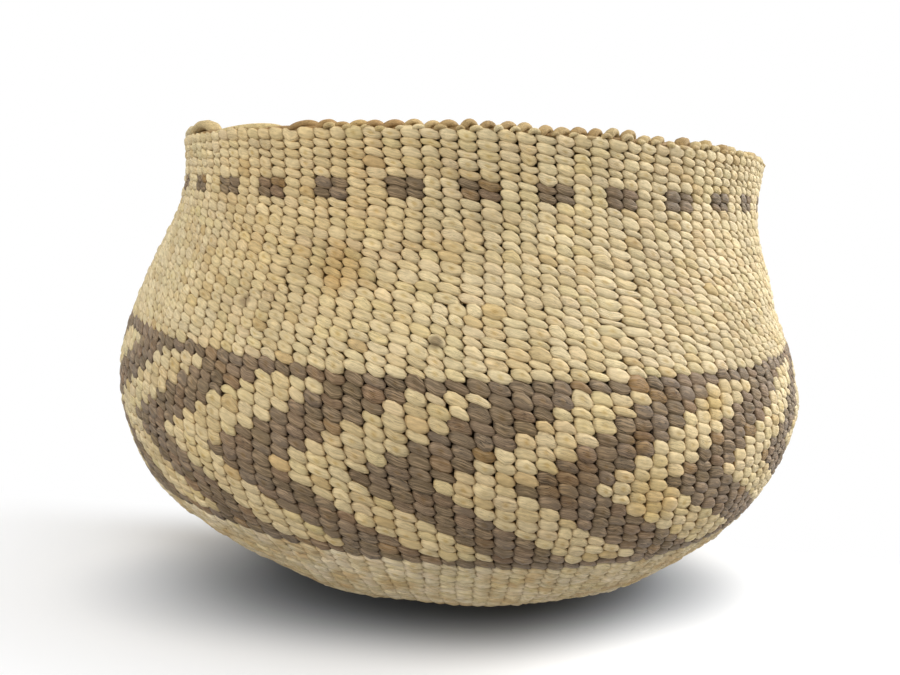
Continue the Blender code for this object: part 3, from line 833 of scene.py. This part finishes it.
warps_met = ((warp_start <= table_arc[:, None]) & (table_arc[:, None] <= warp_end)).sum(1)
column_width = math.tau * np.interp(cord_arc, ARC, RADIUS) / np.interp(cord_arc, table_arc, warps_met)
cord_width = np.minimum(WARP_HALF_WIDTH, WARP_SHARE * column_width)
cord_depth = np.full(cord_arc.shape, WARP_HALF_DEPTH)
cord_rings = tubes(cord_line, cord_across, cord_outward, cord_width, cord_depth, WARP_SIDES)
pieces["warp_cords"] = tube_mesh("warp_cords", cord_rings, np.random.default_rng(31).random(WARPS))
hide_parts("warps")

# %% [markdown]
# ## The rim
#
# At the top each warp end is turned down over the next one and bound, which leaves a row of
# knuckles, one to a column. Over a stretch on the left the binding is slacker and lies along
# the edge in long, low arcs, and its end makes a lump. A knuckle is an arched cord: along it, s
# runs from -1 to 1, the azimuth is the middle plus half the length times s, and the height is
# the rise times 1 - s^2. One function makes all the kinds from different lengths and rises.
#
# Between two knuckles a small bead of the lashing shows at the outer edge. The knuckles are
# browner and lower at the front than at the back, as far as the photograph shows them, and at a
# few places the edge stands higher or lower than the rest. Under them all runs a bundle of bent
# warp ends, one ring round the whole rim.

# %% Arched cords along the edge
ARCH_SIDES = 8
ARCH_TIP = 0.35
ARCH_WIDTH = 1.7


def out_of_wall(azimuth, arc, depth):
    """The direction straight out of the wall, from two points a short step apart."""
    return unit(on_wall(azimuth, arc, depth - STEP) - on_wall(azimuth, arc, depth))


def arches(name, middle, half_length, rise, thickness, tone, lean=0.0, foot=0.75, depth=2.1, cross=0.8,
           stations=11):
    """Cords that arch along the rim. Each argument is one number per arch, in degrees or metres.

    The cord's centre is at arc = edge - foot + rise x (1 - s^2)^0.8, and it crosses the wall from
    outside to inside, at depth + cross x s; these three are in millimetres. Its thickness falls
    to 0.35 of itself at both ends along sqrt(1 - s^4), and it is 1.7 times as wide through the
    wall as it is high. lean moves the top of the arch towards one end.
    """
    s = np.linspace(-1.0, 1.0, stations)
    bow = 1.0 - s**2
    azimuth = middle[:, None] + half_length[:, None] * (s + np.reshape(lean, (-1, 1)) * bow)
    arc = NECK_HIGH - foot * MM + rise[:, None] * bow**0.8
    inward = (depth + cross * s) * MM + np.zeros_like(arc)
    centre = on_wall(azimuth, arc, inward)
    sideways = out_of_wall(azimuth, arc, inward)
    path = unit(np.gradient(centre, axis=1))
    size = thickness[:, None] * (ARCH_TIP + (1.0 - ARCH_TIP) * np.sqrt(1.0 - s**4))
    rings = tubes(centre, sideways, np.cross(sideways, path), size * ARCH_WIDTH, size, ARCH_SIDES)
    return tube_mesh(name, rings, tone)


# %% Where the knuckles stand
SLACK_FROM, SLACK_TO = -163.0, -114.0
# Places where the edge is higher or lower: azimuth, width in degrees, rise in mm.
EDGE_LIFTS = (
    (-108.0, 14.0, -0.5),
    (-109.0, 1.5, 0.4),
    (-91.5, 5.0, 0.45),
    (-71.5, 3.0, 0.7),
    (-60.0, 1.5, -0.7),
    (-53.0, 1.8, 0.8),
)
rim_pitch = 360.0 / NECK_WARPS
knuckle_at = turned(warp_azimuth(NECK_HIGH)[~cut], 0.0)
knuckle_at = knuckle_at[(knuckle_at < SLACK_FROM) | (knuckle_at > SLACK_TO)]
knuckle_count = len(knuckle_at)
lift = sum(rise * np.exp(-(((knuckle_at - at) / width) ** 2)) for at, width, rise in EDGE_LIFTS)
lower_right = 0.25 * np.cos(np.radians(knuckle_at))
paler_right = 0.25 * (1.0 + np.cos(np.radians(knuckle_at - 10.0)))
print("knuckles:", knuckle_count)

# %% Knuckles and beads
draw = np.random.default_rng(41)
knuckles = arches(
    "rim_knuckles",
    middle=knuckle_at + rim_pitch * 0.07 * uneven(draw, knuckle_count),
    half_length=rim_pitch * (0.47 + 0.05 * uneven(draw, knuckle_count)),
    rise=(1.45 - lower_right + lift + 0.20 * uneven(draw, knuckle_count)) * MM,
    thickness=(0.80 + 0.08 * uneven(draw, knuckle_count)) * MM,
    tone=0.45 * draw.random(knuckle_count) + paler_right,
    lean=0.12, foot=0.6)
beads = arches(
    "rim_beads",
    middle=knuckle_at + rim_pitch * (0.5 + 0.08 * uneven(draw, knuckle_count)),
    half_length=rim_pitch * (0.30 + 0.05 * uneven(draw, knuckle_count)),
    rise=(0.45 + 0.18 * uneven(draw, knuckle_count) + 0.4 * lift) * MM,
    thickness=(0.42 + 0.05 * uneven(draw, knuckle_count)) * MM,
    tone=0.5 + 0.5 * draw.random(knuckle_count),
    foot=0.2, depth=0.7, cross=0.2, stations=9)

# %% The slack binding and its lump
slack = arches(
    "rim_slack_binding",
    middle=np.array([-130.0, -116.6]),
    half_length=np.array([9.5, 2.7]),
    rise=np.array([1.15, 1.5]) * MM,
    thickness=np.array([0.75, 0.70]) * MM,
    tone=np.array([0.9, 0.25]),
    lean=np.array([0.35, 0.2]), stations=15)
lump = arches(
    "rim_lump",
    middle=np.array([-146.2, -156.0]),
    half_length=np.array([4.6, 9.5]),
    rise=np.array([2.35, 2.1]) * MM,
    thickness=np.array([0.95, 0.95]) * MM,
    tone=np.array([0.7, 0.95]),
    lean=np.array([0.3, 0.1]), stations=17)

# %% The bundle inside the rim
CORE_STATIONS = 240
CORE_SIZE = 0.75 * MM
CORE_WIDTH = 1.8
CORE_BELOW = 0.15 * MM
core_azimuth = 360.0 / CORE_STATIONS * np.arange(CORE_STATIONS)[None, :]
core_arc = np.full(core_azimuth.shape, NECK_HIGH - CORE_BELOW)
core_line = on_wall(core_azimuth, core_arc, WALL / 2)
core_up = np.array([0.0, 0.0, 1.0]) + np.zeros_like(core_line)
core_size = np.full(core_azimuth.shape, CORE_SIZE)
core_rings = tubes(core_line, out_of_wall(core_azimuth, core_arc, WALL / 2), core_up,
                   CORE_WIDTH * core_size, core_size, ARCH_SIDES)
core = tube_mesh("rim_core", core_rings, np.array([0.2]), closed=True)

rim_pieces = (knuckles, beads, slack, lump, core)
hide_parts("rim_course")
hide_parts("rim_tail")
for piece in rim_pieces:
    pieces[piece.name] = piece


# %% [markdown]
# ## Shader sums written as sums
#
# A material here is a formula: straw colour, times streaks, darker in the grooves. The classes
# below let such a formula be written with ordinary signs, and add the Math nodes themselves.


# %% A socket that knows arithmetic
class Wire:
    """One output socket of a node tree. Each sign between two of them adds a Math node."""

    def __init__(self, nodes, socket):
        self.nodes, self.socket = nodes, socket

    def maths(self, operation, first, second=0.0):
        """One Math node, on two wires or on a wire and a number."""
        return self.nodes.node("ShaderNodeMath", {0: first, 1: second}, operation=operation)

    def __add__(self, other):
        return self.maths("ADD", self, other)

    def __radd__(self, other):
        return self.maths("ADD", other, self)

    def __sub__(self, other):
        return self.maths("SUBTRACT", self, other)

    def __rsub__(self, other):
        return self.maths("SUBTRACT", other, self)

    def __mul__(self, other):
        return self.maths("MULTIPLY", self, other)

    def __rmul__(self, other):
        return self.maths("MULTIPLY", other, self)

    def __abs__(self):
        return self.maths("ABSOLUTE", self)


# %% A node tree with one method that makes any node
class Nodes:
    """A node tree of a material or of the surroundings."""

    def __init__(self, tree):
        self.tree = tree

    def node(self, kind, inputs=None, out=0, stops=None, **settings):
        """Makes a node: its settings first, then each socket's value or link. Returns one output."""
        made = self.tree.nodes.new(kind)
        for name, value in settings.items():
            setattr(made, name, value)
        if stops:
            ramp = made.color_ramp
            while len(ramp.elements) < len(stops):
                ramp.elements.new(1.0)
            for element, (place, colour) in zip(ramp.elements, stops):
                element.position = place
                element.color = (*colour, 1.0)
        self.feed(made, inputs or {})
        return Wire(self, made.outputs[out])

    def feed(self, made, inputs):
        """Gives a node's sockets their links, or their values."""
        for place, value in inputs.items():
            socket = made.inputs[place]
            if isinstance(value, Wire):
                self.tree.links.new(value.socket, socket)
            elif isinstance(value, tuple) and len(value) == 3 and socket.type == "RGBA":
                socket.default_value = (*value, 1.0)
            else:
                socket.default_value = value

    def mix(self, factor, first, second, blend="MIX"):
        """Colour between two: first where the factor is 0 and second where it is 1."""
        return self.node("ShaderNodeMix", {0: factor, 6: first, 7: second}, out=2,
                         data_type="RGBA", blend_type=blend, clamp_factor=True)

    def tint(self, factor, colour, by):
        """A colour multiplied by another one, as far as the factor says."""
        return self.mix(factor, colour, by, blend="MULTIPLY")

    def fade(self, value, low, high, to_low=0.0, to_high=1.0):
        """A number carried from one range to another along a smooth step."""
        return self.node("ShaderNodeMapRange", {0: value, 1: low, 2: high, 3: to_low, 4: to_high},
                         interpolation_type="SMOOTHSTEP")

    def vectors(self, operation, first, second=(0.0, 0.0, 0.0), out=0):
        """One Vector Math node. Its second output is a number, as for a length or a distance."""
        return self.node("ShaderNodeVectorMath", {0: first, 1: second}, out=out, operation=operation)

    def part(self, vector, axis):
        """One of a vector's three numbers."""
        return self.node("ShaderNodeSeparateXYZ", {0: vector}, out=axis)

    def shown(self):
        """1 for a ray from the camera, off a shiny surface or through glass, and 0 for others."""
        camera_ray, glossy_ray, clear_ray = (
            self.node("ShaderNodeLightPath", out=kind)
            for kind in ("Is Camera Ray", "Is Glossy Ray", "Is Transmission Ray"))
        rays = camera_ray + glossy_ray + clear_ray
        return rays.maths("MINIMUM", rays, 1.0)


# %% A new material
class Finish(Nodes):
    """The node tree of a new material."""

    def __init__(self, name):
        self.material = bpy.data.materials.new(name)
        self.material.use_nodes = True
        super().__init__(self.material.node_tree)
        self.shader = self.tree.nodes["Principled BSDF"]


def shade(red, green, blue):
    """A colour as read off a screen, 0 to 255, turned into light: the sRGB curve undone."""
    values = np.array([red, green, blue]) / 255.0
    light = np.where(values <= 0.04045, values / 12.92, ((values + 0.055) / 1.055) ** 2.4)
    return tuple(float(v) for v in light)


print("straw, as light:", np.round(shade(205, 184, 138), 3))

# %% [markdown]
# ## Plant fibre
#
# Every stitch is a bundle of split stem: fine streaks run along it, its tone differs from its
# neighbour's, and a painted warm brown shade darkens its grooves and the places where it dives
# between two warps. The streaks are noise on the strand's own coordinates, stretched along it.
# Many stitches also have a smudge in the middle, where hands have polished and darkened them.
# At the sides of the bowl a painted side light makes the stem paler and bluer.
#
# Below the belly band the outer face is rubbed by use. There the tone comes in patches that
# cross the stitches, and most of the painted groove shade is left out. A few stains belong to
# this one bowl, and each is a place in space, a reach and a tint.

# %% Ramps of stem, each stitch at one place on its ramp
STRAW = [(0.0, shade(200, 174, 124)), (0.06, shade(207, 185, 138)), (0.4, shade(212, 192, 148)),
         (0.75, shade(218, 199, 156)), (0.9, shade(215, 195, 154)), (1.0, shade(210, 192, 145))]
WORN = [(0.0, shade(199, 167, 117)), (0.3, shade(211, 188, 144)), (0.55, shade(219, 200, 159)),
        (0.8, shade(225, 206, 171)), (1.0, shade(229, 215, 181))]
UMBER = [(0.0, shade(98, 82, 59)), (0.3, shade(112, 95, 71)), (0.6, shade(117, 102, 85)),
         (0.94, shade(119, 94, 67)), (1.0, shade(146, 115, 66))]
OCHRE = [(0.0, shade(138, 108, 66)), (0.5, shade(166, 138, 90)), (1.0, shade(188, 166, 118))]
RIM_STEM = [(0.0, shade(144, 112, 70)), (0.4, shade(172, 144, 96)), (0.8, shade(200, 178, 130)),
            (1.0, shade(213, 195, 152))]

# %% What every part of the finish reads
PATCHES, BLOTCHES, FLECKS = 60.0, 190.0, 900.0
BAND_FROM, BAND_TO = (22 * MM, 30 * MM), (50 * MM, 56 * MM)
SIDE = (40 * MM, 66 * MM)
APART = (31.0, 17.0, 7.0)


class Stem(Finish):
    """A finish of plant stem, with the facts of its faces, its places and its noises.

    Fine cracks lie where a stretched noise n is near its middle: |n - 1/2| < a little. The noises
    on the wall have 60, 190 and 900 cells to the metre.
    """

    def __init__(self, name, wear):
        super().__init__(name)
        self.wear = wear
        self.tone, self.dye, self.deep, self.outer = (
            self.node("ShaderNodeAttribute", attribute_name=fact, out=2)
            for fact in ("tone", "dye", "deep", "outer"))
        self.worn = self.outer * wear
        self.uv = self.node("ShaderNodeUVMap", uv_map="strand")
        self.place = self.node("ShaderNodeTexCoord", out=3)
        self.height = self.part(self.place, 2)
        self.at_side = abs(self.part(self.place, 0))
        self.in_band = self.fade(self.height, *BAND_FROM) * self.fade(self.height, *BAND_TO, 1.0, 0.0)
        self.grain = self.noise(self.along_strand(6.0, 1.3), 1.0, 3.0)
        self.fine = self.noise(self.along_strand(15.0, 1.2), 1.0, 1.0)
        self.patch = self.noise(self.place, PATCHES, 2.0)
        self.blotch = self.noise(self.place, BLOTCHES, 3.0)
        self.fleck = self.noise(self.place, FLECKS, 2.0)
        self.crack = self.fade(abs(self.fine - 0.5), 0.008, 0.045, 1.0, 0.0)

    def along_strand(self, across, lengthwise):
        """The strand's own coordinates, stretched, and shifted by the stitch's tone."""
        stretched = self.vectors("MULTIPLY", self.uv, (across, lengthwise, 1.0))
        shift = self.node("ShaderNodeCombineXYZ", {axis: self.tone * far for axis, far in enumerate(APART)})
        return self.vectors("ADD", stretched, shift)

    def noise(self, vector, scale, detail):
        """A noise texture, from 0 to 1."""
        return self.node("ShaderNodeTexNoise",
                         {"Vector": vector, "Scale": scale, "Detail": detail, "Roughness": 0.6})

    def random(self, salt):
        """A number of each stitch's own, from 0 to 1. Another salt gives another number."""
        return self.node("ShaderNodeTexWhiteNoise", {"W": self.tone * salt}, noise_dimensions="1D")


# %% The colour of the stem
DRY_DYE = shade(152, 131, 103)
REDDER, GREENER = (1.0, 0.93, 0.91), (0.97, 0.96, 0.80)


def stem_colour(stem, tones):
    """Straw from the ramp at the stitch's tone, or dark stem with drier threads where it is dyed.

    Where the stem is worn, blotches on the wall take the place of the tone, and the hidden side of
    a worn piece keeps to the middle of the ramp. Some stitches are redder and some greener.
    """
    own = stem.tone * 0.5 + 0.3 if stem.wear else stem.tone
    chosen = own + (stem.fade(stem.blotch, 0.32, 0.68) - own) * stem.worn
    light = stem.node("ShaderNodeValToRGB", {0: chosen}, stops=tones)
    dyed = stem.node("ShaderNodeValToRGB", {0: stem.tone}, stops=UMBER)
    dark = stem.mix(stem.fade(stem.fine, 0.44, 0.62) * 0.65, dyed, DRY_DYE)
    hue = stem.random(57.0)
    colour = stem.mix(stem.dye, light, dark)
    colour = stem.tint(stem.fade(hue, 0.70, 1.0, 0.0, 0.5), colour, REDDER)
    return stem.tint(stem.fade(hue, 0.0, 0.25, 0.5, 0.0), colour, GREENER)


# %% Painted side light, smudges and painted groove shade
PAINTED_SIDE_LIGHT, BAND_TINT = (1.06, 1.09, 1.15), (0.985, 0.96, 0.925)
# The smudge's colour, and the colour of the painted shade in the grooves.
SMUDGE, PAINTED_GROOVE_SHADE = (0.80, 0.71, 0.50), (0.55, 0.43, 0.28)


def painted_light_shade_and_smudges(stem, colour):
    """The colour with a painted side light, smudges, and a painted brown shade in the grooves.

    The painted side light makes the sides of the bowl paler and bluer. The middle of the belly
    band is a little browner, and its painted groove shade is darker. A smudge is an oval round
    the stitch's middle with a ragged edge.
    """
    # Painted side light: the sides of the bowl are made paler and bluer.
    colour = stem.tint(stem.fade(stem.at_side, *SIDE), colour, PAINTED_SIDE_LIGHT)
    colour = stem.tint(stem.in_band * stem.fade(stem.at_side, *SIDE, 1.0, 0.0), colour, BAND_TINT)
    squashed = stem.vectors("MULTIPLY", stem.uv, (0.8, 1.0, 0.0))
    from_middle = stem.vectors("LENGTH", squashed, out=1)
    oval = stem.fade(from_middle + stem.grain * 0.3, 0.16, 0.36, 1.0, 0.0)
    colour = stem.tint(oval * stem.fade(stem.random(91.0), 0.35, 0.95, 0.0, 0.95), colour, SMUDGE)
    # Painted shade, warm brown, in the grooves and where stitches dive between warps: less where worn, more
    # in the belly band.
    groove_shade = stem.fade(stem.deep, 0.10, 0.55) * stem.fade(stem.deep, 0.6, 0.95, 1.0, 0.2)
    groove_shade = groove_shade * (1.0 - 0.9 * stem.worn)
    colour = stem.tint(groove_shade, colour, PAINTED_GROOVE_SHADE)
    return stem.tint(groove_shade * stem.in_band * 0.7, colour, PAINTED_GROOVE_SHADE)


# %% Streaks, cracks and painted shade between the columns
STREAK, CRACK = 0.22, 0.38
PALER = (45 * MM, 85 * MM)


def streaks_and_gap_shade(stem, colour):
    """The colour times a grey: streaks, cracks, patches, flecks, shade between the columns.

    The grey also differs a little from stitch to stitch, and grows from the foot to the rim.
    """
    streaks = stem.fade(stem.grain, 0.25, 0.75, 1.0 - STREAK, 1.0 + 0.4 * STREAK)
    cracked = stem.fade(stem.random(33.0), 0.1, 0.8, 0.35, 1.0)
    cracks = 1.0 - stem.crack * (CRACK * (1.0 + 0.9 * stem.dye)) * cracked
    upwards = stem.fade(stem.height, *PALER, 0.98, 1.04)
    patches = stem.fade(stem.patch, 0.3, 0.7, 0.93, 1.05) * upwards
    flecks = stem.fade(stem.fleck, 0.35, 0.75, 0.93, 1.04)
    # Painted shade where a stitch meets the next column, stronger on dyed stitches, which are a little paler
    # elsewhere.
    column_gap = stem.fade(abs(stem.part(stem.uv, 1)), 0.34, 0.48)
    gap_shade = 1.0 - column_gap * (0.04 + 0.30 * stem.dye) + stem.dye * 0.12 * (1.0 - column_gap)
    grey = streaks * cracks * patches * flecks * gap_shade * stem.fade(stem.random(71.0), 0.0, 1.0, 0.94, 1.05)
    return stem.tint(1.0, colour, stem.node("ShaderNodeCombineColor", {0: grey, 1: grey, 2: grey}))


# %% This bowl's own stains
# Each stain has a place and a reach in millimetres, and a tint.
STAINS = (
    ((-19.2, -63.0, 67.7), 5.0, (0.84, 0.73, 0.54)),
    ((30.7, -68.3, 37.4), 6.0, (0.92, 0.85, 0.66)),
    ((27.1, -69.5, 46.1), 3.0, (0.87, 0.75, 0.50)),
    ((40.3, -61.7, 50.9), 4.0, (0.92, 0.84, 0.64)),
    ((17.2, -73.0, 41.7), 6.0, (0.94, 0.87, 0.74)),
    ((34.0, -58.0, 67.0), 24.0, (0.93, 0.93, 0.96)),
    ((-34.6, -59.3, 61.3), 1.6, (0.45, 0.40, 0.36)),
    ((-4.1, -70.1, 59.1), 1.5, (0.30, 0.26, 0.22)),
    ((-26.0, -57.0, 78.0), 30.0, (0.97, 0.92, 0.84)),
)


def stained(stem, colour):
    """The colour with every stain: a ball with a soft edge, made ragged by the blotches."""
    for (x, y, z), reach, tint in STAINS:
        gap = stem.vectors("DISTANCE", stem.place, (x * MM, y * MM, z * MM), out=1)
        spread = stem.fade(gap * (0.7 + 0.6 * stem.blotch), 0.35 * reach * MM, reach * MM, 1.0, 0.0)
        colour = stem.tint(spread * 0.85, colour, tint)
    return colour


print("stains:", len(STAINS))

# %% The whole finish
def fibre(name, tones, rough, wear=0.0):
    """A material of plant stem. tones are the ramp of the undyed stem, picked by each stitch.

    Wear, on the outer side alone, takes the tone from the wall and takes out most of the painted groove
    shade.
    """
    stem = Stem(name, wear)
    colour = stained(stem, streaks_and_gap_shade(stem, painted_light_shade_and_smudges(stem, stem_colour(stem, tones))))
    relief = stem.grain * 0.6 + stem.fleck * 0.25 - stem.crack * 0.35
    stem.feed(stem.shader, {
        "Base Color": colour,
        "Roughness": stem.fade(stem.grain, 0.2, 0.8, rough + 0.1, rough - 0.05),
        "Normal": stem.node("ShaderNodeBump", {"Height": relief, "Strength": 0.5, "Distance": 0.25 * MM}),
        "Specular IOR Level": 0.30,
    })
    return stem.material


weft_finish = fibre("weft_fibre", STRAW, 0.62)
finishes = dict.fromkeys(
    ("foot_wefts", "lower_wefts_a", "lower_wefts_b", "lower_wefts_c"),
    fibre("worn_weft_fibre", WORN, 0.75, wear=0.8))
finishes["warp_cords"] = fibre("warp_fibre", OCHRE, 0.75)
finishes.update(dict.fromkeys((piece.name for piece in rim_pieces), fibre("rim_fibre", RIM_STEM, 0.70)))
for name, piece in pieces.items():
    piece.data.materials.append(finishes.get(name, weft_finish))
print("finishes:", sorted({piece.data.materials[0].name for piece in pieces.values()}))

# %% [markdown]
# ## The photographer's table
#
# The bowl stands on a white sweep between two soft lights, a strong one beyond its right side and
# a weaker one at the front left, with two more above. So both sides are brighter than the middle,
# helped by the painted side light of the stem, and the shadow falls forward and to the left. The
# floor is nearly white and keeps the shadow, and to the camera it also carries a painted shadow: a
# long oval in front of the foot, turned a little and shaded off to grey, with less red and more
# blue in it, because the straw throws a warm light on the paper and the shadow in the photograph
# is a plain grey. The surroundings and the floor further off are plain white to the camera, but
# give the bowl no light. From below, the camera sees through the floor. The lamps' strengths were
# worked out by rendering each lamp alone and finding the sum that comes nearest to the brightness
# of the photograph.

# %% Floor
SWEEP = 4.0
floor_mesh = bpy.data.meshes.new("floor")
floor_corners = [(-SWEEP, -SWEEP, 0), (SWEEP, -SWEEP, 0), (SWEEP, SWEEP, 0), (-SWEEP, SWEEP, 0)]
floor_mesh.from_pydata(floor_corners, [], [(0, 1, 2, 3)])
floor = bpy.data.objects.new("floor", floor_mesh)
bpy.context.scene.collection.objects.link(floor)
print("floor, metres:", *floor.dimensions[:2])

# %% The painted shadow on the paper
SHADE_MIDDLE = (4.2 * MM, -31.7 * MM, 0.0)
SHADE_TURN = 0.152
SHADE_STRETCH = 2.75
SHADE_REACH = (10.2 * MM, 30.9 * MM)
SHADE_TONES = (0.15, 0.98)
BOUNCE_GREY = (0.45, 0.45, 0.45)

paper = Finish("floor_paper")
shown = paper.shown()
place = paper.node("ShaderNodeTexCoord", out=3)
oval = paper.node("ShaderNodeMapping", {
    "Vector": place,
    "Location": SHADE_MIDDLE,
    "Rotation": (0.0, 0.0, SHADE_TURN),
    "Scale": (SHADE_STRETCH, 1.0, 1.0),
}, vector_type="TEXTURE")
# Painted shadow: to the camera the paper darkens to grey in the oval, with less red and more blue there.
tone = paper.fade(paper.vectors("LENGTH", oval, out=1), *SHADE_REACH, *SHADE_TONES)
red = tone * (0.93 + 0.07 * tone)
blue = tone * (1.1 - 0.1 * tone)
painted_shadow_colour = paper.node("ShaderNodeCombineColor", {0: red, 1: tone, 2: blue})
paper_colour = paper.mix(shown, BOUNCE_GREY, painted_shadow_colour)
paper.feed(paper.shader, {"Base Color": paper_colour, "Roughness": 0.9, "Specular IOR Level": 0.0})

# %% White further off, and clear from below
NEAR_REACH = (85 * MM, 130 * MM)
NEAR_FRONT = (-85 * MM, -50 * MM)
NEAR_BACK = (-24 * MM, -6 * MM)
NEAR_SIDE = (45 * MM, 65 * MM)
NEAR_MIDDLE = 8 * MM

along_y = paper.part(place, 1)
from_middle = abs(paper.part(place, 0) - NEAR_MIDDLE)
near = 1.0 - paper.fade(paper.vectors("LENGTH", place, out=1), *NEAR_REACH)
near = near * paper.fade(along_y, *NEAR_FRONT)
near = near * (1.0 - paper.fade(along_y, *NEAR_BACK) * paper.fade(from_middle, *NEAR_SIDE))
white = paper.node("ShaderNodeEmission", {"Color": (1.0, 1.0, 1.0), "Strength": 1.0})
lit_paper = Wire(paper, paper.shader.outputs[0])
sweep = paper.node("ShaderNodeMixShader", {0: (1.0 - near) * shown, 1: lit_paper, 2: white})
camera_ray = paper.node("ShaderNodeLightPath", out="Is Camera Ray")
from_below = paper.node("ShaderNodeNewGeometry", out="Backfacing")
clear = paper.node("ShaderNodeBsdfTransparent")
one_sided = paper.node("ShaderNodeMixShader", {0: from_below * camera_ray, 1: sweep, 2: clear})
paper.feed(paper.tree.nodes["Material Output"], {"Surface": one_sided})
floor_mesh.materials.append(paper.material)
print("nodes in the floor's material:", len(paper.tree.nodes))


# %% Lamps
def soft_lamp(name, size, power, place, target):
    """A square area lamp at a place, turned to face a target."""
    data = bpy.data.lights.new(name, "AREA")
    data.shape = "SQUARE"
    data.size = size
    data.energy = power
    lamp = bpy.data.objects.new(name, data)
    bpy.context.scene.collection.objects.link(lamp)
    lamp.location = place
    away = np.array(place) - np.array(target)
    yaw = math.atan2(away[1], away[0])
    lamp.rotation_euler = (math.atan2(math.hypot(away[0], away[1]), away[2]), 0.0, yaw + math.pi / 2)
    return lamp


BOWL_MIDDLE = (0.0, 0.0, 0.04)
# Each lamp has a name, a width in metres, a power in watts and a place.
LAMPS = (
    ("right", 0.5, 11.1, (0.75, 0.1, 0.55)),
    ("front_left", 0.8, 5.7, (-0.7, -0.6, 0.5)),
    ("front_above", 0.8, 5.7, (0.0, -0.75, 0.85)),
    ("above", 1.0, 3.1, (0.0, 0.1, 1.1)),
)
lamps = [soft_lamp(*lamp, BOWL_MIDDLE) for lamp in LAMPS]
print("lamps:", [lamp.name for lamp in lamps])

# %% Surroundings
ROOM_LIGHT = 0.18
world = bpy.data.worlds.new("surroundings")
world.use_nodes = True
bpy.context.scene.world = world
room = Nodes(world.node_tree)
room_strength = ROOM_LIGHT + (1.0 - ROOM_LIGHT) * room.shown()
room.feed(world.node_tree.nodes["Background"], {"Color": (1.0, 1.0, 1.0), "Strength": room_strength})
print("light of the surroundings on the bowl:", ROOM_LIGHT)

# %% [markdown]
# ## The camera
#
# The photograph was taken close up with a wide lens, from a little below the rim's height, so
# the courses bend strongly and the mouth isn't seen. Its place was worked out from the outline
# and from where the courses and columns cross the picture.

# %% Camera
CAMERA_PLACE = (-2.0 * MM, -168.1 * MM, 79.1 * MM)
CAMERA_PITCH = 0.1941
CAMERA_ROLL = 0.0762
SENSOR_WIDTH = 36.0
LENS = 28.04
sideways = np.array([1.0, 0.0, 0.0])
level_up = np.array([0.0, math.sin(CAMERA_PITCH), math.cos(CAMERA_PITCH)])
forward = np.array([0.0, math.cos(CAMERA_PITCH), -math.sin(CAMERA_PITCH)])
right = math.cos(CAMERA_ROLL) * sideways + math.sin(CAMERA_ROLL) * level_up
up = -math.sin(CAMERA_ROLL) * sideways + math.cos(CAMERA_ROLL) * level_up
matrix = np.eye(4)
matrix[:3] = np.stack([right, up, -forward, CAMERA_PLACE], -1)
camera_data = bpy.data.cameras.new("camera")
camera_data.sensor_fit = "HORIZONTAL"
camera_data.sensor_width = SENSOR_WIDTH
camera_data.lens = LENS
camera_data.clip_start = 5 * MM
camera = bpy.data.objects.new("camera", camera_data)
bpy.context.scene.collection.objects.link(camera)
camera.matrix_world = Matrix(matrix.tolist())
bpy.context.scene.camera = camera
print("camera to the bowl's axis, mm:", round(math.hypot(*CAMERA_PLACE[:2]) / MM, 1))

# %% Colour management
bpy.context.scene.view_settings.view_transform = "Standard"
